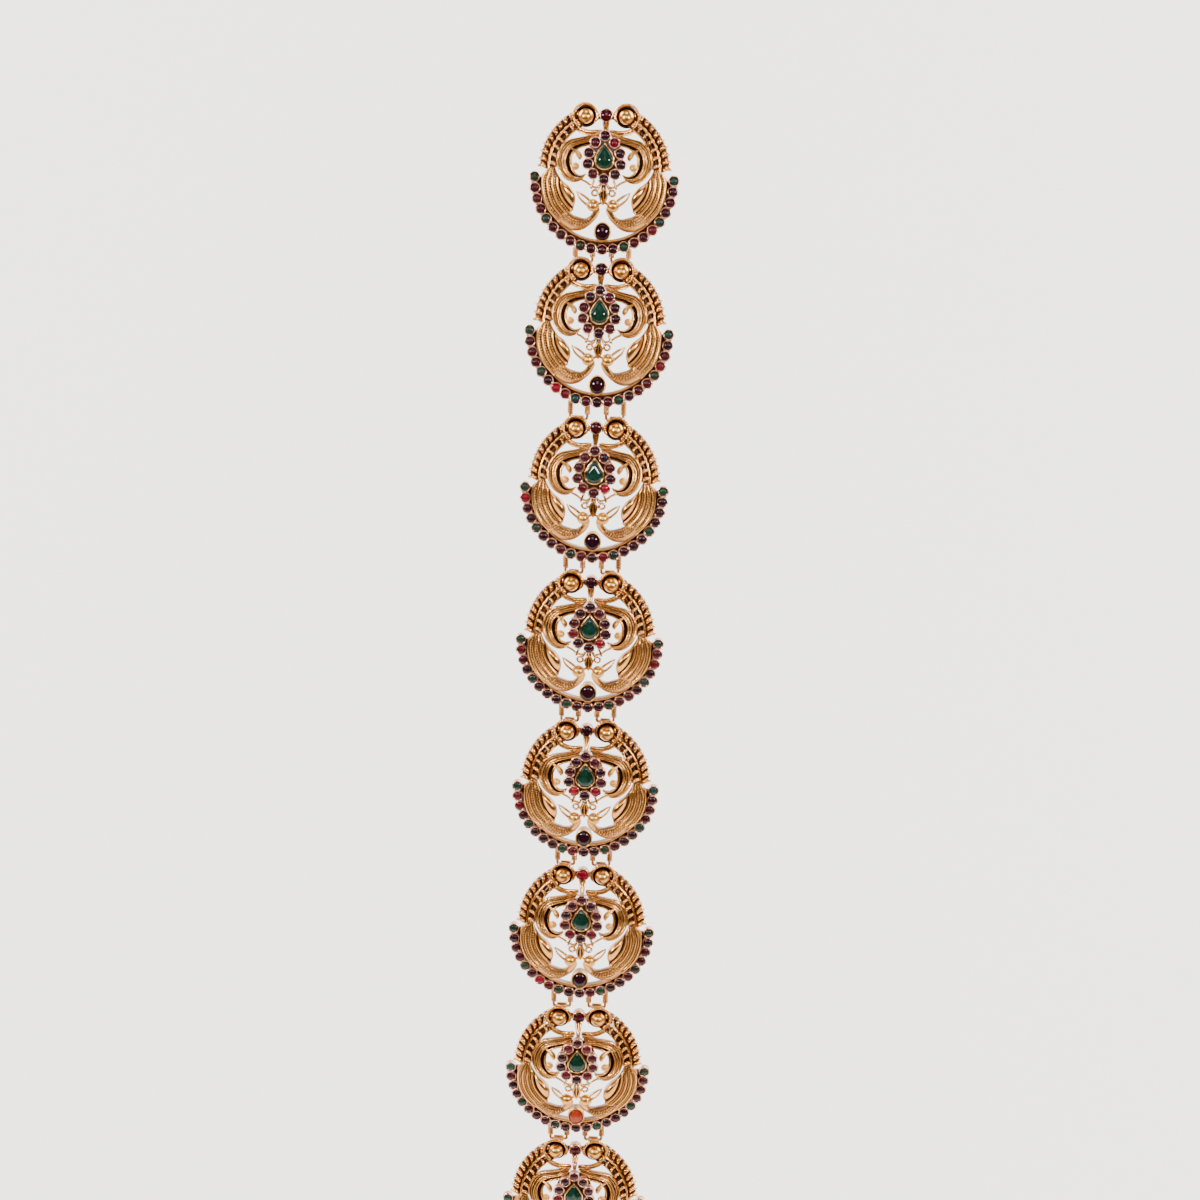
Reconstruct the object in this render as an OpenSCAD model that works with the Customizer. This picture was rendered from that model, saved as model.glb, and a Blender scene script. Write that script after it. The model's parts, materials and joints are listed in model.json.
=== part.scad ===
// Jadanagam: a braid ornament of eight hinged, domed, openwork medallions set with stones.
// Millimetres. +Z is up, the faces look to -Y, and the origin is where the hair hook hangs.
// One medallion is drawn in its own frame first: x right, y up along the plate, z to the viewer.
// Layout tables are in hundredths of the radius of the ring of edge stones.

/* [Medallion] */
// Radius of the circle that the edge stones' centres stand on
ring_r = 25; // [22:0.5:30]
// Height of the dome above the ring of edge stones
dome_h = 8; // [6:0.5:10]
// Thickness of the pierced dome plate
plate_t = 1.2; // [1:0.1:1.6]
// How far relief such as plumes and birds stands above the plate
relief_h = 0.9; // [0.6:0.1:1.4]
// Diameter of the plain round wires
wire_d = 0.9; // [0.8:0.05:1.1]

/* [Edge stones] */
// Number of stones around the lower edge
edge_count = 21; // [17:2:21]
// Angle that the edge stones take, end to end
edge_span = 182; // [170:1:184]
// Outer diameter of a small round collet
collet_d = 4.1; // [4.1:0.05:4.4]
// Diameter of a small round stone
stone_d = 2.9; // [2.4:0.1:3]
// Height of a small collet above the ring's flange
collet_h = 1.6; // [1.2:0.1:2.2]
// Height of a small stone above its collet
stone_crown = 0.5; // [0.3:0.1:0.8]
// Thickness of the flange under the edge stones
flange_t = 1; // [0.8:0.1:1.4]
// Height of the plain rim wall inside the edge stones, above the flange
rim_h = 1.5; // [1.2:0.1:2]
// Gap between a stone and its setting, round its side
stone_gap = 0.12; // [0.1:0.01:0.15]
// Gap between a stone and the floor of its setting
seat_gap = 0.1; // [0.1:0.01:0.15]

/* [Flower] */
// Height of the flower's plate above the plane of the edge stones
flower_z = 8.6; // [8:0.1:11]
// Thickness of the flower's plate
flower_t = 0.9; // [0.7:0.1:1.3]
// Width of the pear bezel
pear_w = 7.2; // [6.6:0.1:7.6]
// Height of the pear bezel from its round end to its point
pear_l = 9.8; // [9.2:0.1:10.4]
// Height of the pear bezel above the flower's plate
pear_h = 2.2; // [1.6:0.1:3]
// Wall of the pear, oval and top bezels
bezel_wall = 0.55; // [0.45:0.05:0.7]

/* [Cups and top stone] */
// Outer diameter of a scroll cup
cup_d = 9.2; // [8.6:0.1:9.6]
// Height of a cup's floor, where its rim stands, above the plane of the edge stones
cup_floor = 1.2; // [1:0.1:1.6]
// Diameter of the bead that rims a cup
cup_rim_d = 1.5; // [1.3:0.1:1.8]
// Diameter of the ball in a cup
ball_d = 5.4; // [4.8:0.1:5.8]
// Outer diameter of the top stone's collet
top_collet_d = 5; // [4.6:0.1:5.4]
// Height of the top stone's collet above its floor
top_collet_h = 2.6; // [2.2:0.1:3]
// Height of the top stone above its collet
top_crown = 0.8; // [0.5:0.1:1]

/* [Oval stone] */
// Width of the oval bezel
oval_w = 6.3; // [5.8:0.1:6.8]
// Height of the oval bezel along the plate
oval_l = 7.1; // [6.9:0.1:7.6]
// Height of the oval bezel above the rim wall's foot
oval_h = 4.4; // [3.8:0.1:5]
// Depth of the oval bezel's pocket
oval_pocket = 1.4; // [1.1:0.1:1.8]
// Height of the oval and pear stones above their bezels
oval_crown = 0.5; // [0.3:0.1:0.8]

/* [Hinges] */
// Diameter of the bar of a staple loop
pin_d = 1; // [0.9:0.05:1.2]
// Gap between the bar and the bore of its knuckle, all round
pin_gap = 0.2; // [0.15:0.01:0.3]
// Wall of a knuckle tube
knuckle_wall = 0.6; // [0.5:0.05:0.9]
// Length of a knuckle tube
knuckle_l = 3.6; // [3:0.1:4]
// Width of a staple loop, centre to centre of its legs
loop_w = 6.2; // [5.8:0.1:6.6]
// How far the hinge axis lies behind the plane of the flange
hinge_back = 2.4; // [2.4:0.1:3.2]

/* [Hair hook] */
// Diameter of the hook's wire
hook_d = 2; // [1.6:0.1:2.6]
// Inner radius of the hook's bend
hook_r = 2.5; // [2.2:0.1:4]
// Length of the hook's free leg
hook_leg = 14; // [10:0.5:18]
// Length of the hook's leg that is fastened behind the top setting
hook_foot = 6; // [5:0.5:10]

/* [Hidden] */
$fn = 48;

// Columns: lean of the plate back from upright in degrees, and how far its centre hangs below
// the centre of the plate above it, in hundredths of ring_r
DRAPE = [
    [0, 0], [0.5, 221], [5.5, 228], [10.5, 228],
    [12.5, 228], [13, 228], [18, 230], [19, 230],
];
LEAN = 0;
PITCH = 1;
COUNT = len(DRAPE);

// Hundredths of the ring radius, in millimetres
u = ring_r / 100;
// Radius of the sphere that the dome is cut from
sphere_r = (ring_r * ring_r + dome_h * dome_h) / (2 * dome_h);
wire_r = wire_d / 2;
collet_r = collet_d / 2;
stone_r = stone_d / 2;
pocket_r = stone_r + stone_gap;
ball_r = ball_d / 2;
cup_r = cup_d / 2;
rim_bead_r = cup_rim_d / 2;
top_collet_r = top_collet_d / 2;
pin_r = pin_d / 2;
bore_r = pin_r + pin_gap;
knuckle_r = bore_r + knuckle_wall;
hook_wire_r = hook_d / 2;
// How far a flat end is sunk into what it is soldered to
lap = 0.6;
// How far a pocket's cutter stands out of it
over = 1;
// How far each soldered layer of the dome is set back from the next
layer_step = 0.1;
// Gap between the hook's wire and the flange in front of it
hook_gap = 0.1;
gold = "goldenrod";

// Places on the medallion, in hundredths of ring_r
cup_at = [29.2, 90];
top_at = [0, 93];
flower_at = [0, 34];
band_at = [0, 16];
hinge_at = [26, 102];
hook_at = [0, 84];

// Outline of one plume, in hundredths of ring_r, left side: outer line, tip, inner line
PLUME = [
    [-4, 69], [-20, 63.5], [-40, 59], [-52, 55.5], [-61.5, 46.5], [-67.5, 33], [-67.5, 23],
    [-63, 11], [-54, 2], [-43, -2], [-32.5, 2], [-26.5, 10],
    [-34, 7], [-42, 10], [-47, 17.5], [-48.5, 29.5], [-43, 42], [-30, 48], [-4, 54],
];
// How far up the stem reaches: nearly through the wall of the top stone's collet
stem_top = top_at[1] - (top_collet_r - bezel_wall * 0.9) / u;
// Outlines of the leaf under the flower and of the pointed stem over it
LEAF = [[5, 8], [-5, 8], [-4, -10], [-4.6, -20], [0, -36], [4.6, -20], [4, -10]];
STEM = [[-5, stem_top], [-5, 80], [-3, 62], [3, 62], [5, 80], [5, stem_top]];
// Ridges of a plume. Each row holds five points on the plate: start, middle and end of the long
// upper arc, then middle and end of the curl that goes on from it
RIDGES = [
    [[-4, 67.5], [-28, 61], [-50, 54.5], [-65.5, 30], [-50, 2]],
    [[-8, 61], [-28, 55.5], [-48, 48.5], [-59, 29.5], [-47, 7]],
    [[-14, 53.5], [-28, 50], [-44, 43.5], [-51.5, 28], [-43, 12]],
];
// Outline of one bird's body and wing, left side
BIRD = [
    [-74, 19], [-84, 8], [-88.5, -4], [-87, -22], [-81, -39], [-72, -52], [-56, -56],
    [-46, -48], [-40, -34], [-40, -19], [-48, -10], [-58, -2], [-60, 9],
];
// Outline of a bird's open beak, left side
BEAK = [[-16, -27], [-38.5, -15.5], [-17, -38.5], [-19, -34.5], [-31.5, -21.8], [-17, -30.8]];
// A bird's body and neck, left side: arcs of thinning round section.
// Columns: start, middle, end, radius of the section
NECK = [
    [[-77, -40], [-67, -55.5], [-52, -66], 7.4],
    [[-52, -66], [-38, -69.5], [-24, -66], 6.4],
    [[-24, -66], [-13.5, -57], [-8, -44], 5.2],
    [[-8, -44], [-7.5, -37], [-14.6, -32.8], 4.2],
];
// Swellings of a bird's breast and shoulder. Columns: place, radius, how deep it is sunk
BREAST = [[[-61, -26], 20, 12.5], [[-72, -5], 15.5, 10]];
// Line of the beads along a bird's wing
WING_BEADS = [[-82, 4], [-84.5, -4], [-84, -13], [-82.5, -22], [-80, -31], [-75.5, -39.5]];
// Flower stones, right side, from the top one down, and their mirror images
FLOWER = [[0, 65.6], [13.6, 55.6], [22.2, 40.4], [23.6, 24.6], [15.8, 10.4], [0, 3.4]];

function flat(p) = [p[0] * u, p[1] * u];
function dome_z(p) = sqrt(sphere_r * sphere_r - p * p) - (sphere_r - dome_h);
function on_dome(p) = [p[0] * u, p[1] * u, dome_z(flat(p))];
function mirrored(p) = [-p[0], p[1]];

// Where a point of the plate (its y and z) comes to lie on the leaning ornament
function leaned(lean, y, z) = [0, -z * cos(lean) - y * sin(lean), y * cos(lean) - z * sin(lean)];
hinge_y = hinge_at[1] * u;
hinge_z = -hinge_back;
function hang_below(k) = DRAPE[k][PITCH] * u - hinge_y;
hook_z = -flange_t - hook_wire_r - hook_gap;
hook_bend_r = hook_r + hook_wire_r;
first_origin = -leaned(DRAPE[0][LEAN], hook_at[1] * u, hook_z - hook_bend_r);
function centre(k) =
    k == 0 ? first_origin
    : centre(k - 1) + leaned(DRAPE[k - 1][LEAN], -hang_below(k), hinge_z)
      - leaned(DRAPE[k][LEAN], hinge_y, hinge_z);

// Puts a child drawn in a medallion's own frame at medallion k, counted from 0 at the top
module at_medallion(k) {
    translate(centre(k)) rotate([90 + DRAPE[k][LEAN], 0, 0]) children();
}

// Both sides of a left-hand or right-hand piece
module both_sides() {
    children();
    mirror([1, 0, 0]) children();
}

// Stands a child on the dome at a point, its z along the dome's normal
module stand_on_dome(p) {
    q = flat(p);
    translate(on_dome(p))
        rotate([0, asin(norm(q) / sphere_r), atan2(q[1], q[0])])
            children();
}

// The layer of the dome between two heights above its surface, cut to the child's outline
module dome_layer(low, high) {
    intersection() {
        translate([0, 0, -dome_h / 2]) linear_extrude(dome_h * 2) children();
        translate([0, 0, dome_h - sphere_r]) rotate([90, 0, 0])
            difference() {
                sphere(sphere_r + high, $fn = 96);
                sphere(sphere_r + low, $fn = 96);
            }
    }
}

// A round wire in an arc through three points, which stops short of both ends by trim
module arc_wire(p, q, r, radius, trim = 0) {
    a = q - p;
    b = r - p;
    n = cross(a, b);
    c = p + (cross(n, a) * (b * b) + cross(b, n) * (a * a)) / (2 * (n * n));
    bend = norm(p - c);
    e1 = (p - c) / bend;
    e3 = n / norm(n);
    e2 = cross(e3, e1);
    end = atan2((r - c) * e2, (r - c) * e1);
    short = trim / bend * 180 / PI;
    multmatrix([
        [e1[0], e2[0], e3[0], c[0]],
        [e1[1], e2[1], e3[1], c[1]],
        [e1[2], e2[2], e3[2], c[2]],
        [0, 0, 0, 1],
    ])
        rotate([0, 0, short])
            rotate_extrude(angle = (end < 0 ? end + 360 : end) - 2 * short, $fn = 64)
                translate([bend, 0]) circle(radius, $fn = 24);
}

// A ball where two wires meet, its poles turned along them
module knot(at, along, radius) {
    translate(at)
        rotate([0, acos(along[2] / norm(along)), atan2(along[1], along[0])])
            sphere(radius, $fn = 24);
}

// A straight round bar between two points
module bar(p, q, radius) {
    d = q - p;
    translate(p)
        rotate([0, acos(d[2] / norm(d)), atan2(d[1], d[0])])
            cylinder(norm(d), radius, radius, $fn = 24);
}

// A round cabochon: a short girdle and a low round crown
module cabochon(r, foot, girdle, crown) {
    round_r = (r * r + crown * crown) / (2 * crown);
    translate([0, 0, foot]) cylinder(girdle, r, r);
    translate([0, 0, foot + girdle])
        intersection() {
            translate([0, 0, crown - round_r]) sphere(round_r);
            cylinder(crown + over, r, r);
        }
}

// Angle of edge stone i, counted from the left end
function edge_angle(i) = -90 - edge_span / 2 + i * edge_span / (edge_count - 1);

module at_edge(i) {
    rotate([0, 0, edge_angle(i)]) translate([ring_r, 0, 0]) children();
}

// Flange, collets and rim wall around the lower edge
module edge_ring() {
    difference() {
        union() {
            for (i = [0 : edge_count - 1])
                at_edge(i) translate([0, 0, -flange_t]) cylinder(flange_t + collet_h, collet_r, collet_r);
            rotate([0, 0, edge_angle(0)])
                rotate_extrude(angle = edge_span)
                    translate([rim_wall_r - wire_r, -flange_t]) {
                        square([ring_r + collet_r * 0.6 - rim_wall_r + wire_r, flange_t]);
                        square([wire_d + rim_lap * 3, flange_t + rim_h]);
                    }
            rotate([0, 0, edge_angle(0)])
                rotate_extrude(angle = edge_span)
                    translate([rim_wall_r - rim_lap, rim_h]) circle(wire_r);
        }
        for (i = [0 : edge_count - 1])
            at_edge(i) translate([0, 0, seat_gap]) cylinder(collet_h + over, pocket_r, pocket_r);
    }
}

// The pierced plate that carries the plumes and birds, with the leaf and the stem
module relief_plate() {
    dome_layer(-plate_t, relief_h / 2) {
        both_sides() {
            polygon([for (p = PLUME) flat(p)]);
            polygon([for (p = BIRD) flat(p)]);
            polygon([for (p = BEAK) flat(p)]);
        }
        polygon([for (p = LEAF) flat(p)]);
        polygon([for (p = STEM) flat(p)]);
    }
}

// Upper band: plate, plain wire between two rows of rope ribs
module upper_band() {
    function at(r, a) = band_at + r * [cos(a), sin(a)];
    lift = [0, 0, relief_h / 3];
    both_sides() {
        dome_layer(layer_step - plate_t, 0)
            polygon(concat(
                [for (a = [-2 : 12.8 : 62]) flat(at(95, a))],
                [for (a = [62 : -12.8 : -2]) flat(at(69, a))]
            ));
        arc_wire(on_dome(at(81, -2)), on_dome(at(81, 28)), on_dome(at(81, 58)), wire_r);
        for (i = [0 : 8])
            translate(on_dome(at(89, -1 + i * 6.7)) + lift) sphere(5 * u, $fn = 32);
        for (i = [0 : 6])
            translate(on_dome(at(74, 9 + i * 7.6)) + lift) sphere(4.6 * u, $fn = 32);
    }
}

// The ridges of one plume, and the ball and the bud inside its curl
module plume() {
    lift = [0, 0, relief_h / 2];
    for (r = RIDGES) {
        arc_wire(on_dome(r[0]) + lift, on_dome(r[1]) + lift, on_dome(r[2]) + lift, wire_r, wire_r / 2);
        knot(on_dome(r[2]) + lift, on_dome(r[3]) - on_dome(r[1]), wire_r * 1.3);
        arc_wire(on_dome(r[2]) + lift, on_dome(r[3]) + lift, on_dome(r[4]) + lift, wire_r, wire_r / 2);
    }
    translate(on_dome([-42, 20])) sphere(5.6 * u, $fn = 32);
    translate(on_dome([-38, 38])) sphere(5.2 * u, $fn = 32);
    bar(on_dome([-38, 38]), on_dome([-44, 45]), wire_r * 1.2);
    bar(on_dome([-42, 20]), on_dome([-50, 18]), wire_r * 1.2);
}

// One bird's domed breast, wing beads, neck, head and open beak
module bird() {
    lift = [0, 0, relief_h / 2];
    head = on_dome([-14.6, -32.8]) + [0, 0, relief_h];
    for (b = BREAST)
        stand_on_dome(b[0])
            intersection() {
                translate([0, 0, relief_h / 2 - b[2] * u]) sphere(b[1] * u);
                translate([0, 0, -plate_t * 0.4]) cylinder(b[1] * u, b[1] * u, b[1] * u);
            }
    for (p = WING_BEADS)
        translate(on_dome(p) + lift) sphere(3.4 * u, $fn = 24);
    for (n = NECK)
        arc_wire(on_dome(n[0]) + lift, on_dome(n[1]) + lift, on_dome(n[2]) + lift, n[3] * u, n[3] * u / 6);
    for (i = [1 : len(NECK) - 1])
        knot(
            on_dome(NECK[i][0]) + lift, on_dome(NECK[i][1]) - on_dome(NECK[i - 1][1]),
            NECK[i - 1][3] * u * 1.1
        );
    translate(head) sphere(7 * u, $fn = 32);
    translate(head + [-0.1, 0, 1] * 6 * u) sphere(2.2 * u, $fn = 24);
}

// A spiral cup with its rim bead and ball
module cup() {
    place = on_dome(cup_at);
    translate([place[0], place[1], 0]) {
        translate([0, 0, -flange_t]) cylinder(flange_t + cup_floor, cup_r - rim_bead_r, cup_r - rim_bead_r);
        rotate_extrude() translate([cup_r - rim_bead_r, cup_floor]) circle(rim_bead_r, $fn = 24);
        translate([0, 0, cup_floor + ball_r * 0.3]) sphere(ball_r);
    }
}

// Pear outline, shrunk by inset: a round end and two straight sides to the point
module pear_end(inset) {
    circle(pear_w / 2 - inset);
}

module pear_point(inset) {
    r = pear_w / 2 - inset;
    tip = pear_l - pear_w / 2 - inset * 1.35;
    side = acos(r / tip);
    foot = 0.985 * r * [sin(side), cos(side)];
    polygon([[0, tip], foot, [0, -r / 2], [-foot[0], foot[1]]]);
}

module pear_outline(inset) {
    pear_end(inset);
    pear_point(inset);
}

pear_y = flower_at[1] * u - pear_l / 2 + pear_w / 2 + 2 * u;

// The raised flower: plate, ten collets and the pear bezel, on a hub over a round base
module flower() {
    places = concat(FLOWER, [for (i = [4 : -1 : 1]) mirrored(FLOWER[i])]);
    hub_foot = dome_h - 3;
    dome_layer(2 * layer_step - plate_t, -layer_step) translate(flat(flower_at)) circle(31 * u);
    difference() {
        union() {
            translate([0, flower_at[1] * u, hub_foot])
                cylinder(flower_z - flower_t / 2 - hub_foot, 17 * u, 17 * u);
            translate([0, 0, flower_z - flower_t])
                linear_extrude(flower_t) polygon([for (p = places) flat(p)]);
            for (p = places)
                translate([p[0] * u, p[1] * u, flower_z - flower_t])
                    cylinder(flower_t + collet_h, collet_r, collet_r);
            translate([0, pear_y, flower_z - flower_t]) linear_extrude(flower_t + pear_h) pear_outline(0);
        }
        for (p = places)
            translate([p[0] * u, p[1] * u, flower_z + seat_gap])
                cylinder(collet_h + over, pocket_r, pocket_r);
        translate([0, pear_y, flower_z]) linear_extrude(pear_h + over) pear_outline(bezel_wall);
    }
}

// Two rings and two prongs beside the leaf under the flower
module cluster() {
    both_sides() {
        translate(on_dome([12.4, -17.2]))
            rotate_extrude() translate([4 * u, 0]) circle(wire_r, $fn = 24);
        bar(on_dome([3, -20]), on_dome([9.6, -18]), wire_r);
        bar(on_dome([6, -8]), on_dome([19, -7]), wire_r);
        bar(on_dome([2, -6]), on_dome([8, -8]), wire_r * 1.2);
        bar(on_dome([0, -33]), on_dome([9, -33]) + [0, 0, relief_h / 2], wire_r * 1.2);
        bar(on_dome([19, -7]), on_dome([34, 2]), wire_r * 1.2);
    }
}

// Outline of the oval, shrunk by inset: two round ends and a straight waist
module oval_outline(inset) {
    r = oval_w / 2 - inset;
    for (s = [-1, 1]) translate([0, s * (oval_l - oval_w) / 2]) circle(r);
    square([2 * r, oval_l - oval_w], center = true);
}

rim_wall_r = ring_r - collet_r - wire_r;
rim_lap = 0.05;
oval_lap = 0.4;
oval_y = -(rim_wall_r - wire_r) + oval_l / 2 - oval_lap;

// The oval bezel on its pillar, which is soldered to the rim wall
module oval_bezel() {
    translate([0, oval_y, 0])
        difference() {
            linear_extrude(oval_h) oval_outline(0);
            translate([0, 0, oval_h - oval_pocket])
                linear_extrude(oval_pocket + over) oval_outline(bezel_wall);
        }
}

// Height of the floor under the top stone
top_floor = 1;

// Collet of the top stone on its bridge between the cups
module top_setting() {
    bridge_l = 2 * cup_at[0] * u;
    bridge_w = 8 * u;
    translate([-bridge_l / 2, cup_at[1] * u - bridge_w / 2, -flange_t])
        cube([bridge_l, bridge_w, flange_t]);
    translate([top_at[0] * u, top_at[1] * u, -flange_t])
        difference() {
            cylinder(flange_t + top_collet_h, top_collet_r, top_collet_r);
            translate([0, 0, flange_t + top_floor])
                cylinder(top_collet_h, top_collet_r - bezel_wall, top_collet_r - bezel_wall);
        }
}

// Knuckle tubes behind the cups, each on a lug that is soldered to the cup's floor
module knuckles() {
    lug_l = knuckle_l * 0.9;
    lug_w = knuckle_r * 0.6;
    both_sides()
        translate([hinge_at[0] * u, hinge_y, hinge_z])
            difference() {
                union() {
                    rotate([0, 90, 0]) cylinder(knuckle_l, knuckle_r, knuckle_r, center = true);
                    translate([-lug_l / 2, -knuckle_r * 0.85, 0])
                        cube([lug_l, lug_w, hinge_back - flange_t / 2]);
                }
                rotate([0, 90, 0]) cylinder(knuckle_l + 2 * over, bore_r, bore_r, center = true);
            }
}

// Staple loops under a medallion, whose bars are the hinge pins of the next one
module staples(k) {
    low = -hang_below(k + 1);
    leg_r = pin_r * 0.9;
    both_sides() {
        for (s = [-1, 1]) {
            x = hinge_at[0] * u + s * loop_w / 2;
            bar([x, -sqrt(ring_r * ring_r - x * x) + lap, -flange_t / 2], [x, low, hinge_z], leg_r);
        }
        translate([hinge_at[0] * u, low, hinge_z])
            rotate([0, 90, 0]) cylinder(loop_w + pin_d, pin_r, pin_r, center = true);
    }
}

// All the soldered metal of medallion k
module medallion(k) {
    color(gold) at_medallion(k) {
        edge_ring();
        relief_plate();
        upper_band();
        both_sides() {
            plume();
            bird();
            cup();
        }
        flower();
        cluster();
        oval_bezel();
        top_setting();
        if (k > 0) knuckles();
        if (k < COUNT - 1) staples(k);
    }
}

// The stones around the lower edge of medallion k
module edge_stones(k) {
    color("maroon") at_medallion(k)
        for (i = [0 : edge_count - 1])
            at_edge(i) cabochon(stone_r, 2 * seat_gap, collet_h - 3 * seat_gap, stone_crown);
}

module pear_stone(k) {
    color("darkgreen") at_medallion(k)
        translate([0, pear_y, flower_z + seat_gap]) {
            linear_extrude(pear_h + oval_crown) pear_end(bezel_wall + stone_gap);
            linear_extrude(pear_h + oval_crown) pear_point(bezel_wall + stone_gap);
        }
}

module oval_stone(k) {
    color("purple") at_medallion(k)
        translate([0, oval_y, oval_h - oval_pocket + seat_gap])
            linear_extrude(oval_pocket + oval_crown) oval_outline(bezel_wall + stone_gap);
}

module top_stone(k) {
    color("maroon") at_medallion(k)
        translate([top_at[0] * u, top_at[1] * u, 0])
            cabochon(
                top_collet_r - bezel_wall - stone_gap, top_floor + seat_gap,
                top_collet_h - top_floor - seat_gap, top_crown
            );
}

// Hook that holds the ornament in the hair, behind the first medallion
module hair_hook() {
    color(gold) at_medallion(0)
        translate([0, hook_at[1] * u, hook_z]) {
            rotate([90, 0, 0]) cylinder(hook_foot, hook_wire_r, hook_wire_r);
            translate([0, 0, -hook_bend_r]) rotate([0, 90, 0])
                rotate_extrude(angle = 180) translate([hook_bend_r, 0]) circle(hook_wire_r);
            translate([0, 0, -2 * hook_bend_r]) {
                rotate([90, 0, 0]) cylinder(hook_leg, hook_wire_r, hook_wire_r);
                translate([0, -hook_leg, 0]) sphere(hook_wire_r * 1.2);
            }
        }
}

hair_hook();
for (k = [1 : COUNT]) {
    medallion(k - 1);
    edge_stones(k - 1);
    pear_stone(k - 1);
    oval_stone(k - 1);
    top_stone(k - 1);
}
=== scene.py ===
"""Looks of a jadanagam: a braid ornament of eight hinged, domed, openwork medallions set with stones.

Each medallion is drawn once in its own frame, in millimetres: x right, y up along the plate and z
to the viewer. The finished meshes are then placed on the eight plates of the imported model.
"""

import json
import logging
import math
import random
from dataclasses import dataclass, field
from enum import Enum
from typing import Callable, Iterable, Sequence

import bmesh
import bpy
import numpy as np
from mathutils import Euler, Matrix, Vector

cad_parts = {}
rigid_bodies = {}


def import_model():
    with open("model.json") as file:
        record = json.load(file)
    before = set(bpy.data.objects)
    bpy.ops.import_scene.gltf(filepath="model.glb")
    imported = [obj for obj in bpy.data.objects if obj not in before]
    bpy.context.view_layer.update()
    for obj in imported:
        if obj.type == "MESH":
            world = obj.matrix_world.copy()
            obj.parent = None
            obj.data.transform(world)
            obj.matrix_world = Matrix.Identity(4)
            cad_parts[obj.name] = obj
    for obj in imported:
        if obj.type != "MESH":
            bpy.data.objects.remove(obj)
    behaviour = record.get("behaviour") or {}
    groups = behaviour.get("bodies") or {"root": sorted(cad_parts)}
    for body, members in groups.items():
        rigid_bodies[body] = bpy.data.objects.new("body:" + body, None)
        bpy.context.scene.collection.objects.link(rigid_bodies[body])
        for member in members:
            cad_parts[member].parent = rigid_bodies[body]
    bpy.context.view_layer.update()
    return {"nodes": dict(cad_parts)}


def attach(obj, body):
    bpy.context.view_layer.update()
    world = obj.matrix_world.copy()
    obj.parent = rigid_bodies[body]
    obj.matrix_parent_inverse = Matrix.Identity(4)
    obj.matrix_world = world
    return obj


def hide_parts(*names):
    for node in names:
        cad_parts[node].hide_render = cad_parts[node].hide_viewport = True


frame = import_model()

LOG = logging.getLogger("jadanagam")
MM = 0.001
# Metal turned from the dome's outward direction is darker: tarnish and painted shade.
FACING = (-0.1, 0.78)  # how squarely metal faces off the dome where it is darkest and where it is bright

Point = tuple[float, float]
Triple = tuple[float, float, float]
Faces = list[tuple[int, ...]]
Shape = tuple[np.ndarray, Faces]  # vertices and faces
Body = tuple[np.ndarray, Faces, np.ndarray]  # the same, and how dark each vertex is
Outline = Callable[[float], np.ndarray]  # from an inset to the points of the outline


class Metal(Enum):
    """Finishes of the metal, in the order of a setting's material slots."""

    ANTIQUE = 0
    SATIN = 1
    BRIGHT = 2
    ROSE = 3


class Gem(Enum):
    """Colours that a round stone may have, as linear red, green and blue."""

    WINE = (0.042, 0.0016, 0.0036)
    PLUM = (0.018, 0.0013, 0.0036)
    RUBY = (0.100, 0.0015, 0.0060)
    SCARLET = (0.260, 0.0012, 0.0100)
    GREEN = (0.004, 0.0260, 0.0115)
    SEA = (0.006, 0.0400, 0.0250)


# Stones that are brighter than their neighbours, by plate, row and place in the row
SCARLETS = {
    1: (("edge", 6),),
    2: (("edge", 1), ("flower", 4)),
    3: (("flower", 4),),
    4: (("flower", 4), ("flower", 6)),
    5: (("top", 0), ("edge", 6)),
}
RUBIES = {
    0: (("flower", 1), ("edge", 15)),
    1: (("edge", 7), ("edge", 17)),
    2: (("flower", 6), ("edge", 11)),
    3: (("edge", 1), ("edge", 18), ("flower", 7)),
    4: (("edge", 1), ("edge", 2), ("edge", 9)),
    5: (("flower", 4), ("flower", 6), ("edge", 7)),
    6: (("flower", 1), ("flower", 4), ("flower", 6), ("flower", 9)),
    7: (("flower", 4), ("flower", 7)),
}


# ---- Sizes ------------------------------------------------------------------------------------


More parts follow.
